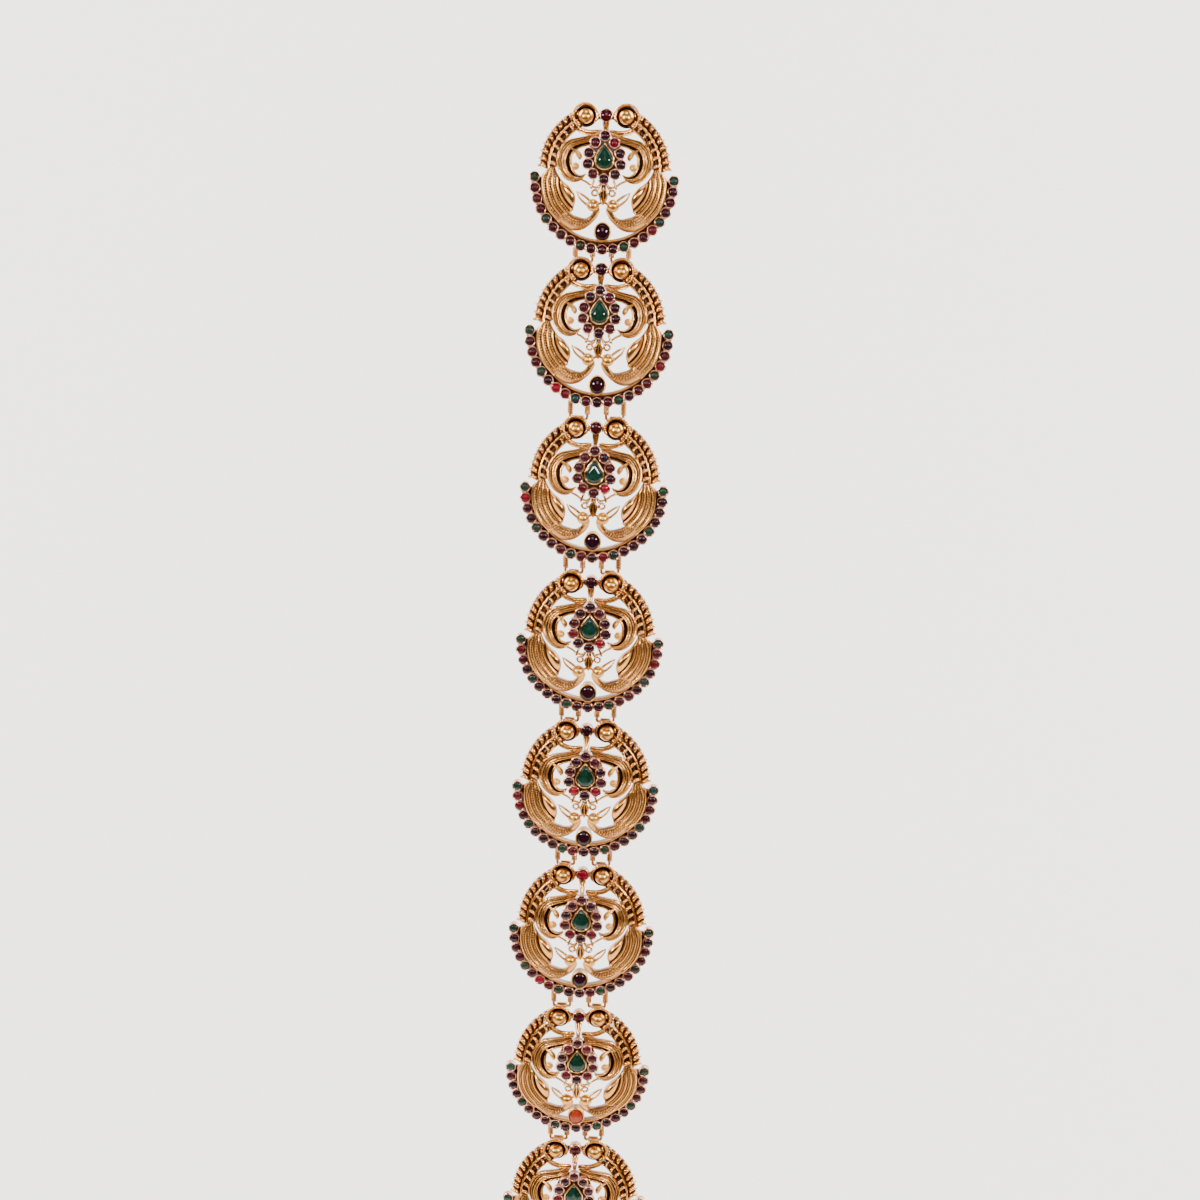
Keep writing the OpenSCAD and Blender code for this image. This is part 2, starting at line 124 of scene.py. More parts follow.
@dataclass(frozen=True)
class Sizes:
    """Sizes of the ornament in millimetres, the same as those of the part.

    The drape gives each plate's lean in degrees, and how far its centre hangs below that of the plate
    above it, in hundredths of ring_r. The flower's collets are given down the right-hand side.
    """

    ring_r: float = 25.0
    dome_h: float = 8.0
    plate_t: float = 1.2
    wire_r: float = 0.45
    edge_count: int = 21
    edge_span: float = 182.0
    collet_r: float = 2.05
    collet_h: float = 1.6
    flange_t: float = 1.0
    rim_h: float = 1.5
    flower_z: float = 8.6
    flower_at: tuple[Point, ...] = ((0, 16.4), (3.4, 13.9), (5.55, 10.1), (5.9, 6.15), (3.95, 2.6), (0, 0.85))
    pear_w: float = 7.2
    pear_l: float = 9.8
    pear_h: float = 2.2
    bezel_wall: float = 0.55
    cup_floor: float = 1.2
    ball_r: float = 2.7
    top_collet_r: float = 2.5
    top_collet_h: float = 2.6
    oval_w: float = 6.3
    oval_l: float = 7.1
    oval_h: float = 4.4
    pin_r: float = 0.5
    bore_r: float = 0.7
    knuckle_r: float = 1.3
    knuckle_l: float = 3.6
    loop_w: float = 6.2
    hinge_back: float = 2.4
    hook_r: float = 3.5
    drape: tuple[tuple[float, float], ...] = (
        (0, 221), (0.5, 221), (5.5, 228), (10.5, 228), (12.5, 228), (13, 228), (18, 230), (19, 230),
    )

    @property
    def sphere_r(self) -> float:
        """Radius of the sphere that the dome is cut from."""
        return (self.ring_r**2 + self.dome_h**2) / (2 * self.dome_h)

    @property
    def rim_r(self) -> float:
        """Radius of the plain ring inside the edge stones."""
        return self.ring_r - self.collet_r - 2 * self.wire_r

    @property
    def hinge_y(self) -> float:
        """Height of a medallion's hinge axis over its centre, along the plate."""
        return 1.02 * self.ring_r

    @property
    def cup_at(self) -> Point:
        """Centre of the right-hand cup."""
        return (0.292 * self.ring_r, 0.9 * self.ring_r)

    @property
    def hinge_x(self) -> float:
        """How far the knuckles and the loops stand from the middle."""
        return 0.26 * self.ring_r

    @property
    def top_at(self) -> np.ndarray:
        """Centre of the top stone, as the only row."""
        return np.array([(0.0, 0.93 * self.ring_r, 0.0)])

    @property
    def oval_y(self) -> float:
        """Height of the centre of the oval stone, which reaches a little over the plain ring."""
        return -(self.rim_r - self.wire_r) + self.oval_l / 2 - 0.4

    @property
    def pear_y(self) -> float:
        """Height of the centre of the pear stone's round end."""
        return 0.36 * self.ring_r - self.pear_l / 2 + self.pear_w / 2

    @property
    def edge_places(self) -> np.ndarray:
        """Centres of the edge stones on the flange, one row each."""
        a = np.array([self.edge_angle(i) for i in range(self.edge_count)])
        return self.ring_r * np.column_stack([np.cos(a), np.sin(a), np.zeros(len(a))])

    @property
    def flower_places(self) -> np.ndarray:
        """Centres of the ten collets on the flower's plate, one row each."""
        flat = list(self.flower_at) + [(-x, y) for x, y in self.flower_at[-2:0:-1]]
        return np.array([(x, y, self.flower_z) for x, y in flat])

    def edge_angle(self, i: int) -> float:
        """Angle of edge stone i, from the left end, in radians."""
        return math.radians(-90 - self.edge_span / 2 + i * self.edge_span / (self.edge_count - 1))

    def hang(self, k: int) -> float:
        """How far the hinge that carries plate k lies below the centre of the plate above it."""
        return self.drape[k][1] / 100 * self.ring_r - self.hinge_y

    def dome(self, x: np.ndarray, y: np.ndarray) -> np.ndarray:
        """Height of the dome above the plane of the edge stones."""
        r = self.sphere_r
        return np.sqrt(np.maximum(r * r - x * x - y * y, 1.0)) - (r - self.dome_h)

    def on_dome(self, points: Sequence[Point] | np.ndarray, lift: float | np.ndarray = 0.0) -> np.ndarray:
        """Points of the plate raised to the dome.

        Args:
            points: Flat points, one row each.
            lift: Height over the dome, one for all or one for each point.

        Returns:
            The points in space, one row each.
        """
        p = np.asarray(points, float)
        return np.column_stack([p[:, 0], p[:, 1], self.dome(p[:, 0], p[:, 1]) + lift])

    def leaned(self, lean: float, y: float, z: float) -> np.ndarray:
        """Where a point of a leaning plate comes to lie, from its height and depth on the plate."""
        a = math.radians(lean)
        return np.array([0.0, -z * math.cos(a) - y * math.sin(a), y * math.cos(a) - z * math.sin(a)])

    def centre(self, k: int) -> np.ndarray:
        """Centre of a plate in the ornament's frame.

        Args:
            k: Number of the plate, 0 at the top.

        Returns:
            The point, in millimetres.
        """
        if k == 0:
            return -self.leaned(self.drape[0][0], 0.84 * self.ring_r, -self.flange_t - 1.1 - self.hook_r)
        above = self.centre(k - 1) + self.leaned(self.drape[k - 1][0], -self.hang(k), -self.hinge_back)
        return above - self.leaned(self.drape[k][0], self.hinge_y, -self.hinge_back)

    def place(self, k: int) -> Matrix:
        """The move from plate k's own millimetres to the ornament's metres."""
        turn = Matrix.Rotation(math.radians(90 + self.drape[k][0]), 4, "X")
        return Matrix.Translation(Vector(self.centre(k)) * MM) @ turn @ Matrix.Scale(MM, 4)


# ---- Curves and outlines ----------------------------------------------------------------------


def smooth_path(points: Sequence[Sequence[float]] | np.ndarray, count: int) -> np.ndarray:
    """A smooth line through points.

    Args:
        points: The points, one row each; a column may hold a radius instead of a place.
        count: How many points the line has.

    Returns:
        The line, evenly spaced in the number of the given point.
    """
    p = np.asarray(points, float)
    p = np.vstack([2 * p[0] - p[1], p, 2 * p[-1] - p[-2]])
    t = np.linspace(0, len(p) - 3, count)
    i = np.minimum(t.astype(int), len(p) - 4)
    f = (t - i)[:, None]
    a, b, c, d = p[i], p[i + 1], p[i + 2], p[i + 3]
    return 0.5 * (2 * b + (c - a) * f + (2 * a - 5 * b + 4 * c - d) * f**2 + (3 * b - a - 3 * c + d) * f**3)


def even_path(points: np.ndarray, count: int) -> np.ndarray:
    """Spaces a line's points evenly along it.

    Args:
        points: The line, one point to a row, with any further columns.
        count: How many points to keep.

    Returns:
        The same line with that many points.
    """
    step = np.linalg.norm(np.diff(points[:, :2], axis=0), axis=1)
    s = np.concatenate([[0], np.cumsum(step)])
    want = np.linspace(0, s[-1], count)
    return np.column_stack([np.interp(want, s, points[:, i]) for i in range(points.shape[1])])


def blend(t: float | np.ndarray, low: float, high: float) -> np.ndarray:
    """A smooth step from 0 at low to 1 at high."""
    x = np.clip((np.asarray(t, float) - low) / (high - low), 0, 1)
    return x * x * (3 - 2 * x)


@dataclass(frozen=True)
class RoundOutline:
    """A circle, or one with a few low waves.

    Attributes:
        radius: Radius at no inset.
        count: Number of points.
        waves: Number of crests, share of the radius and phase of each wave.
    """

    radius: float
    count: int
    waves: tuple[Triple, ...] = ()

    def __call__(self, inset: float) -> np.ndarray:
        """The outline at an inset.

        Args:
            inset: How far inside the full outline it runs.

        Returns:
            Its points, one row each.
        """
        a = np.linspace(0, 2 * math.pi, self.count, endpoint=False)
        shape = 1 + sum((s * np.cos(n * a + p) for n, s, p in self.waves), np.zeros(self.count))
        share = min(1, max(0, (self.radius - inset) / self.radius))
        r = (self.radius - inset) * (1 + (shape - 1) * share)
        return np.column_stack([r * np.cos(a), r * np.sin(a)])


@dataclass(frozen=True)
class PearOutline:
    """A pear: a round end, centred at the origin, and two slightly full sides up to the point.

    Attributes:
        width: Width of the round end.
        length: Length from the round end to the point.
        count: Number of points.
        fullness: How far the sides swell, as a share of the round end's radius.
    """

    width: float
    length: float
    count: int
    fullness: float = 0.10

    def __call__(self, inset: float) -> np.ndarray:
        """The outline at an inset.

        Args:
            inset: How far inside the full outline it runs.

        Returns:
            Its points, one row each.
        """
        r = max(self.width / 2 - inset, 0.01)
        tip = max(self.length - self.width / 2 - inset * 1.35, r * 1.02)
        side = math.acos(min(0.999, r / tip))
        out = []
        for angle in np.linspace(0, 2 * math.pi, self.count, endpoint=False):
            up = (angle - math.pi / 2 + math.pi) % (2 * math.pi) - math.pi
            if abs(up) >= side:
                out.append((r * math.cos(angle), r * math.sin(angle)))
                continue
            f = 1 - abs(up) / side
            foot = np.array([math.copysign(r * math.sin(side), -up), r * math.cos(side)])
            p = foot * (1 - f) + np.array([0.0, tip]) * f
            full = self.fullness * r * math.sin(math.pi * min(1, f * 1.04)) * (1 if f < 0.96 else 0.6)
            out.append((p[0] + math.copysign(full * math.cos(side), foot[0]) * 0.7, p[1] + full * 0.25))
        return np.array(out)


@dataclass(frozen=True)
class OvalOutline:
    """An oval, its long way along y.

    Attributes:
        width: Width.
        length: Length.
        count: Number of points.
    """

    width: float
    length: float
    count: int

    def __call__(self, inset: float) -> np.ndarray:
        """The outline at an inset.

        Args:
            inset: How far inside the full outline it runs.

        Returns:
            Its points, one row each.
        """
        a = np.linspace(0, 2 * math.pi, self.count, endpoint=False)
        across, along = max(self.width / 2 - inset, 0.01), max(self.length / 2 - inset, 0.01)
        return np.column_stack([across * np.cos(a), along * np.sin(a)])


@dataclass(frozen=True)
class StarOutline:
    """An outline through given points, which shrinks to their middle at an inset of 1.

    Attributes:
        points: The points, one row each.
    """

    points: np.ndarray

    def __call__(self, inset: float) -> np.ndarray:
        """The outline at an inset.

        Args:
            inset: Share of the way to the middle.

        Returns:
            Its points, one row each.
        """
        middle = self.points.mean(axis=0)
        return middle + (self.points - middle) * (1 - inset)


# ---- Meshes -----------------------------------------------------------------------------------


@dataclass
class Casting:
    """Closed bodies of one finish or another, gathered before they become one mesh."""

    points: list[np.ndarray] = field(default_factory=list)
    faces: Faces = field(default_factory=list)
    metals: list[int] = field(default_factory=list)
    dark: list[np.ndarray] = field(default_factory=list)
    total: int = 0

    def add(self, body: Body, metal: Metal = Metal.ANTIQUE) -> None:
        """Adds a body as it is.

        Args:
            body: Its vertices, faces and darkness, from 0 to 1.
            metal: Its finish.
        """
        points, faces, dark = body
        start = self.total
        faces = [tuple(start + int(i) for i in f) for f in faces]
        self.points.append(np.asarray(points, float))
        self.dark.append(np.asarray(dark, float))
        self.faces += faces
        self.metals += [metal.value] * len(faces)
        self.total += len(points)

    def put(self, body: Body, metal: Metal = Metal.ANTIQUE, dark: float | None = None,
            at: Sequence[float] = (0, 0, 0)) -> None:
        """Adds a body at a place, its doubles merged and its faces turned outwards.

        Args:
            body: Its vertices, faces and darkness.
            metal: Its finish.
            dark: Darkness all over, or None for the body's own.
            at: Where its origin goes.
        """
        points, faces, _ = outward(body[0] + np.asarray(at, float), body[1])
        self.add((points, faces, body[2] if dark is None else np.full(len(points), dark)), metal)

    def ball(self, sizes: Sizes, centre: np.ndarray, wide: float, high: float, sides: int,
             metal: Metal) -> None:
        """Adds a ball, with painted shade round its foot.

        Args:
            sizes: The ornament's sizes.
            centre: Its centre.
            wide: Its radius along the plate.
            high: Its radius off the plate.
            sides: Number of points round it.
            metal: Its finish.
        """
        steep = [math.radians(t) for t in np.linspace(8, 176, sides // 2 + 2)]
        rings = [(wide * (1 - math.sin(t)), -high * math.cos(t), 0.0) for t in steep]
        points, faces, _ = turned(RoundOutline(wide, sides), rings)
        points, faces, normals = outward(points + centre, faces)
        self.add((points, faces, tarnish_and_painted_shade(sizes, points, normals, -0.8, 0.2) * 0.55), metal)

    def take(self, other: "Casting", mirror: bool = False) -> None:
        """Adds another casting's bodies, or their mirror image in x.

        Args:
            other: The casting that is copied.
            mirror: Whether it is mirrored.
        """
        points = np.vstack(other.points)
        faces = other.faces
        if mirror:
            points = points * [-1, 1, 1]
            faces = [f[::-1] for f in faces]
        start = self.total
        self.points.append(points)
        self.dark.append(np.concatenate(other.dark))
        self.faces += [tuple(start + i for i in f) for f in faces]
        self.metals += other.metals
        self.total += len(points)

    def mesh(self, name: str, finishes: Sequence[bpy.types.Material]) -> bpy.types.Mesh:
        """Makes one mesh of all the bodies, with their darkening, tarnish and painted shade, as an attribute.

        Args:
            name: Name of the mesh.
            finishes: Its materials, in the order of Metal.

        Returns:
            The mesh.
        """
        mesh = bpy.data.meshes.new(name)
        mesh.from_pydata(np.vstack(self.points).tolist(), [], self.faces)
        for m in finishes:
            mesh.materials.append(m)
        mesh.polygons.foreach_set("material_index", self.metals)
        mesh.polygons.foreach_set("use_smooth", [True] * len(self.faces))
        shade = mesh.attributes.new("tarnish_and_shade", "FLOAT", "POINT")
        shade.data.foreach_set("value", np.concatenate(self.dark).astype(np.float32))
        return mesh


def outward(points: np.ndarray, faces: Iterable[Sequence[int]]) -> tuple[np.ndarray, Faces, np.ndarray]:
    """Merges a body's doubles and turns its faces outwards.

    Args:
        points: Its vertices, one row each.
        faces: The numbers of the vertices of each face.

    Returns:
        Its vertices, its faces and the vertices' normals.
    """
    bm = bmesh.new()
    verts = [bm.verts.new(p) for p in points]
    for f in faces:
        try:
            bm.faces.new([verts[i] for i in f])
        except ValueError:
            continue
    bmesh.ops.remove_doubles(bm, verts=bm.verts, dist=1e-4)
    bmesh.ops.recalc_face_normals(bm, faces=bm.faces)
    bm.verts.index_update()
    bm.normal_update()
    out = (
        np.array([v.co for v in bm.verts]), [tuple(v.index for v in f.verts) for f in bm.faces],
        np.array([v.normal for v in bm.verts]),
    )
    bm.free()
    return out


def unpacked(mesh: bpy.types.Mesh) -> Shape:
    """Reads a mesh and removes it.

    Args:
        mesh: The mesh.

    Returns:
        Its vertices and faces.
    """
    points = np.zeros(len(mesh.vertices) * 3)
    mesh.vertices.foreach_get("co", points)
    faces = [tuple(p.vertices) for p in mesh.polygons]
    bpy.data.meshes.remove(mesh)
    return points.reshape(-1, 3), faces


def tarnish_and_painted_shade(sizes: Sizes, points: np.ndarray, normals: np.ndarray, low: float, high: float) -> np.ndarray:
    """How dark cast metal is: bright where it faces off the dome, dark down its sides, which stands for
    tarnish and painted shade.

    Args:
        sizes: The ornament's sizes.
        points: Vertices.
        normals: Their normals.
        low: Facing at which the metal is darkest.
        high: Facing at which it is bright.

    Returns:
        A share for each vertex, 0 bright and 1 dark.
    """
    out = points + [0, 0, sizes.sphere_r - sizes.dome_h]
    out /= np.linalg.norm(out, axis=1)[:, None]
    facing = (out * normals).sum(axis=1)
    dark = 1 - blend(facing, low, high)
    return np.where(facing < -0.35, 0.45, dark)


def grid_faces(rows: int, columns: int, start: int = 0, loop: bool = False) -> Faces:
    """Quads over a grid of vertices, row after row.

    Args:
        rows: Number of rows.
        columns: Number of vertices in a row.
        start: Number of the first vertex.
        loop: Whether each row closes on itself.

    Returns:
        The faces.
    """
    out = []
    for i in range(rows - 1):
        for j in range(columns if loop else columns - 1):
            k = (j + 1) % columns
            a, b = start + i * columns, start + (i + 1) * columns
            out.append((a + j, a + k, b + k, b + j))
    return out


def turned(outline: Outline, profile: Sequence[Triple]) -> Body:
    """A closed body whose level rings are insets of one outline.

    Args:
        outline: From an inset to the points of the ring.
        profile: Inset, height and darkness of each ring, from the foot over the lip to the floor.

    Returns:
        Vertices, faces and darkness.
    """
    rings = [np.column_stack([outline(i), np.full(len(outline(i)), z)]) for i, z, _ in profile]
    n = len(rings[0])
    points = np.vstack(rings + [rings[0].mean(axis=0)[None], rings[-1].mean(axis=0)[None]])
    faces = grid_faces(len(rings), n, loop=True)
    foot, top, last = len(rings) * n, len(rings) * n + 1, (len(rings) - 1) * n
    for j in range(n):
        faces.append((foot, (j + 1) % n, j))
        faces.append((top, last + j, last + (j + 1) % n))
    dark = np.concatenate([np.full(n, d) for _, _, d in profile] + [[profile[0][2], profile[-1][2]]])
    return points, faces, dark


def domed_plate(top: np.ndarray, bottom: np.ndarray, dark: np.ndarray) -> Body:
    """A closed plate between two grids of points.

    Args:
        top: Its face, rows by columns by three.
        bottom: Its back, the same grid.
        dark: Darkness over the face, rows by columns.

    Returns:
        Vertices, faces and darkness.
    """
    rows, columns = top.shape[:2]
    n = rows * columns
    points = np.vstack([top.reshape(-1, 3), bottom.reshape(-1, 3)])
    faces = grid_faces(rows, columns) + [f[::-1] for f in grid_faces(rows, columns, n)]
    edge = [(0, j) for j in range(columns)] + [(i, columns - 1) for i in range(1, rows)]
    edge += [(rows - 1, j) for j in range(columns - 2, -1, -1)] + [(i, 0) for i in range(rows - 2, 0, -1)]
    ids = [i * columns + j for i, j in edge]
    for a, b in zip(ids, ids[1:] + ids[:1]):
        faces.append((b, a, a + n, b + n))
    return points, faces, np.concatenate([dark.ravel(), np.full(n, 0.5)])


# ---- Geometry Nodes ---------------------------------------------------------------------------


@dataclass
class Tree:
    """A Geometry Nodes tree with named inputs, which is run once on a mesh and baked."""

    name: str
    inputs: dict[str, tuple[str, object]]
    group: bpy.types.GeometryNodeTree = field(init=False)
    ids: dict[str, str] = field(init=False)
    source: bpy.types.Node = field(init=False)
    sink: bpy.types.Node = field(init=False)

    def __post_init__(self) -> None:
        """Makes the group, its sockets and its first and last nodes."""
        self.group = bpy.data.node_groups.new(self.name, "GeometryNodeTree")
        face = self.group.interface
        face.new_socket("Geometry", in_out="INPUT", socket_type="NodeSocketGeometry")
        face.new_socket("Geometry", in_out="OUTPUT", socket_type="NodeSocketGeometry")
        self.ids = {}
        for label, (kind, value) in self.inputs.items():
            socket = face.new_socket(label, in_out="INPUT", socket_type=kind)
            if value is not None:
                socket.default_value = value
            self.ids[label] = socket.identifier
        self.source = self.group.nodes.new("NodeGroupInput")
        self.sink = self.group.nodes.new("NodeGroupOutput")

    def node(self, kind: str, **settings: object) -> bpy.types.Node:
        """Adds a node.

        Args:
            kind: Its type.
            **settings: Its properties by name.

        Returns:
            The node.
        """
        node = self.group.nodes.new(kind)
        for key, value in settings.items():
            setattr(node, key, value)
        return node

    def link(self, out: bpy.types.NodeSocket, into: bpy.types.NodeSocket) -> None:
        """Joins two sockets."""
        self.group.links.new(out, into)

    def named(self, label: str, kind: str = "FLOAT") -> bpy.types.NodeSocket:
        """Reads an attribute of the mesh.

        Args:
            label: Name of the attribute.
            kind: Its data type.

        Returns:
            The socket that gives its value.
        """
        node = self.node("GeometryNodeInputNamedAttribute", data_type=kind)
        node.inputs["Name"].default_value = label
        return node.outputs["Attribute"]

    def finish(self, last: bpy.types.NodeSocket) -> None:
        """Ends the tree: smooth shading, instances made real, and the material.

        Args:
            last: The geometry that comes out of the rest of the tree.
        """
        real = self.node("GeometryNodeRealizeInstances")
        smooth = self.node("GeometryNodeSetShadeSmooth")
        paint = self.node("GeometryNodeSetMaterial")
        self.link(last, smooth.inputs["Geometry"])
        self.link(smooth.outputs["Geometry"], real.inputs["Geometry"])
        self.link(real.outputs["Geometry"], paint.inputs["Geometry"])
        self.link(self.source.outputs["Material"], paint.inputs["Material"])
        self.link(paint.outputs["Geometry"], self.sink.inputs["Geometry"])

    def bake(self, mesh: bpy.types.Mesh, **values: object) -> bpy.types.Mesh:
        """Runs the tree on a mesh.

        Args:
            mesh: What the tree starts from.
            **values: The tree's inputs by name, with _ for a space.

        Returns:
            The plain mesh that comes out.
        """
        host = bpy.data.objects.new("bench", mesh)
        bpy.context.scene.collection.objects.link(host)
        modifier = host.modifiers.new("tree", "NODES")
        modifier.node_group = self.group
        for label, value in values.items():
            modifier[self.ids[label.replace("_", " ")]] = value
        bpy.context.view_layer.update()
        graph = bpy.context.evaluated_depsgraph_get()
        ready = host.evaluated_get(graph)
        out = bpy.data.meshes.new_from_object(ready, preserve_all_data_layers=True, depsgraph=graph)
        host.modifiers.remove(modifier)
        bpy.data.objects.remove(host)
        return out


def point_mesh(points: np.ndarray, edges: Sequence[tuple[int, int]], **attributes: np.ndarray
               ) -> bpy.types.Mesh:
    """Makes a mesh of bare points and edges.

    Args:
        points: The points, one row each.
        edges: Pairs of their numbers.
        **attributes: Values for each point, by the attribute's name.

    Returns:
        The mesh.
    """
    mesh = bpy.data.meshes.new("bench")
    mesh.from_pydata(np.asarray(points, float).tolist(), list(edges), [])
    for name, values in attributes.items():
        values = np.asarray(values)
        kind = "FLOAT_VECTOR" if values.ndim == 2 else "FLOAT"
        layer = mesh.attributes.new(name, kind, "POINT")
        layer.data.foreach_set("vector" if values.ndim == 2 else "value", values.astype(np.float32).ravel())
    return mesh


def wire_tree() -> Tree:
    """Round wires that follow lines of edges, as thick as the attribute girth says.

    Returns:
        The tree.
    """
    tree = Tree("swept_wires", {"Sides": ("NodeSocketInt", 10), "Material": ("NodeSocketMaterial", None)})
    line = tree.node("GeometryNodeMeshToCurve")
    ring = tree.node("GeometryNodeCurvePrimitiveCircle")
    girth = tree.node("GeometryNodeSetCurveRadius")
    sweep = tree.node("GeometryNodeCurveToMesh")
    ring.inputs["Radius"].default_value = 1.0
    sweep.inputs["Fill Caps"].default_value = True
    tree.link(tree.source.outputs["Geometry"], line.inputs[0])
    tree.link(line.outputs[0], girth.inputs["Curve"])
    tree.link(tree.named("girth"), girth.inputs["Radius"])
    tree.link(tree.source.outputs["Sides"], ring.inputs["Resolution"])
    tree.link(girth.outputs["Curve"], sweep.inputs["Curve"])
    tree.link(ring.outputs["Curve"], sweep.inputs["Profile Curve"])
    if "Scale" in sweep.inputs:
        tree.link(tree.node("GeometryNodeInputRadius").outputs[0], sweep.inputs["Scale"])
    tree.finish(sweep.outputs["Mesh"])
    return tree


def bead_tree() -> Tree:
    """Rows of granules along lines of edges, as large as the attribute girth says.

    Returns:
        The tree.
    """
    tree = Tree("bead_rows", {
        "Pitch": ("NodeSocketFloat", 2.0), "Unevenness": ("NodeSocketFloat", 0.1),
        "Facets": ("NodeSocketInt", 2), "Seed": ("NodeSocketInt", 3),
        "Material": ("NodeSocketMaterial", None),
    })
    line = tree.node("GeometryNodeMeshToCurve")
    girth = tree.node("GeometryNodeSetCurveRadius")
    row = tree.node("GeometryNodeResampleCurve")
    if "Mode" in row.inputs:
        row.inputs["Mode"].default_value = "Length"
    else:
        row.mode = "LENGTH"
    step = tree.node("ShaderNodeMath", operation="MULTIPLY")
    bead = tree.node("GeometryNodeMeshIcoSphere")
    seat = tree.node("GeometryNodeInstanceOnPoints")
    vary = tree.node("FunctionNodeRandomValue", data_type="FLOAT")
    less = tree.node("ShaderNodeMath", operation="SUBTRACT")
    size = tree.node("ShaderNodeMath", operation="MULTIPLY")
    less.inputs[0].default_value = 1.0
    bead.inputs["Radius"].default_value = 1.0
    tree.link(tree.source.outputs["Geometry"], line.inputs[0])
    tree.link(line.outputs[0], girth.inputs["Curve"])
    tree.link(tree.named("girth"), girth.inputs["Radius"])
    tree.link(girth.outputs["Curve"], row.inputs["Curve"])
    tree.link(tree.named("girth"), step.inputs[0])
    tree.link(tree.source.outputs["Pitch"], step.inputs[1])
    tree.link(step.outputs[0], row.inputs["Length"])
    tree.link(tree.source.outputs["Facets"], bead.inputs["Subdivisions"])
    tree.link(row.outputs["Curve"], seat.inputs["Points"])
    tree.link(bead.outputs["Mesh"], seat.inputs["Instance"])
    tree.link(tree.source.outputs["Unevenness"], less.inputs[1])
    tree.link(less.outputs[0], vary.inputs[2])
    vary.inputs[3].default_value = 1.0
    tree.link(tree.source.outputs["Seed"], vary.inputs["Seed"])
    tree.link(vary.outputs[1], size.inputs[0])
    tree.link(tree.node("GeometryNodeInputRadius").outputs[0], size.inputs[1])
    tree.link(size.outputs[0], seat.inputs["Scale"])
    tree.finish(seat.outputs["Instances"])
    return tree


def seat_tree() -> Tree:
    """Copies of a pattern on points, turned and sized by the attributes turn and size.

    Returns:
        The tree.
    """
    tree = Tree("seated_copies", {
        "Pattern": ("NodeSocketObject", None), "Material": ("NodeSocketMaterial", None),
    })
    pattern = tree.node("GeometryNodeObjectInfo")
    seat = tree.node("GeometryNodeInstanceOnPoints")
    tree.link(tree.source.outputs["Pattern"], pattern.inputs["Object"])
    tree.link(tree.source.outputs["Geometry"], seat.inputs["Points"])
    tree.link(pattern.outputs["Geometry"], seat.inputs["Instance"])
    tree.link(tree.named("turn", "FLOAT_VECTOR"), seat.inputs["Rotation"])
    tree.link(tree.named("size", "FLOAT_VECTOR"), seat.inputs["Scale"])
    tree.finish(seat.outputs["Instances"])
    return tree


@dataclass
class Bench:
    """The workbench: the node trees, and how their meshes go into a casting."""

    sizes: Sizes
    finishes: list[bpy.types.Material]
    wires: Tree = field(default_factory=wire_tree)
    beads: Tree = field(default_factory=bead_tree)
    seats: Tree = field(default_factory=seat_tree)

    def lines(self, paths: Sequence[np.ndarray]) -> bpy.types.Mesh:
        """Makes one mesh of several lines, with the attribute girth.

        Args:
            paths: Rows of x, y, z and radius for each line.

        Returns:
            The mesh.
        """
        points, edges, start = [], [], 0
        for p in paths:
            points.append(p)
            edges += [(start + i, start + i + 1) for i in range(len(p) - 1)]
            start += len(p)
        rows = np.vstack(points)
        return point_mesh(rows[:, :3], edges, girth=rows[:, 3])

    def pour(self, casting: Casting, mesh: bpy.types.Mesh, metal: Metal, dark: float | None = None,
             facing: Point = FACING, dull: float = 0.0) -> None:
        """Puts a baked mesh into a casting.

        Args:
            casting: What it goes into.
            mesh: The mesh, which is used up.
            metal: Its finish.
            dark: Darkness all over, or None for metal that is dark down its sides.
            facing: Facings at which such metal is darkest and bright.
            dull: How much darker it is than the rest.
        """
        points, faces, normals = outward(*unpacked(mesh))
        shade = tarnish_and_painted_shade(self.sizes, points, normals, *facing) if dark is None else np.full(len(points), dark)
        casting.add((points, faces, shade + dull), metal)

    def wire(self, casting: Casting, paths: Sequence[np.ndarray], metal: Metal = Metal.ANTIQUE,
             sides: int = 10, dark: float | None = None, facing: Point = FACING) -> None:
        """Sweeps round wires along lines.

        Args:
            casting: What they go into.
            paths: Rows of x, y, z and radius for each wire.
            metal: Their finish.
            sides: Number of sides of their section.
            dark: Darkness all over, or None for metal that is dark down its sides.
            facing: Facings at which such metal is darkest and bright.
        """
        mesh = self.wires.bake(self.lines(paths), Sides=sides, Material=self.finishes[metal.value])
        self.pour(casting, mesh, metal, dark, facing)

    def bead(self, casting: Casting, paths: Sequence[np.ndarray], pitch: float = 1.9, uneven: float = 0.12,
             facets: int = 2, dull: float = 0.0) -> None:
        """Lays rows of granules along lines.

        Args:
            casting: What they go into.
            paths: Rows of x, y, z and radius for each row.
            pitch: Their spacing, in radii.
            uneven: How much smaller the smallest ones are.
            facets: How finely each is divided.
            dull: How much darker they are than the rest.
        """
        mesh = self.beads.bake(self.lines(paths), Pitch=pitch, Unevenness=uneven, Facets=facets, Seed=5,
                               Material=self.finishes[0])
        self.pour(casting, mesh, Metal.ANTIQUE, dull=dull)

    def seat(self, pattern: Shape, at: np.ndarray, turn: np.ndarray,
             size: np.ndarray, material: bpy.types.Material) -> bpy.types.Mesh:
        """Copies of a pattern on points.

        Args:
            pattern: Its vertices and faces.
            at: The points.
            turn: The copies' turns in radians, one row each.
            size: Their scales, one row each.
            material: The finish of the copies.

        Returns:
            One mesh of all the copies.
        """
        mould = bpy.data.meshes.new("mould")
        mould.from_pydata(np.asarray(pattern[0]).tolist(), [], pattern[1])
        model = bpy.data.objects.new("mould", mould)
        mesh = self.seats.bake(point_mesh(at, [], turn=turn, size=size), Pattern=model, Material=material)
        bpy.data.objects.remove(model)
        return mesh


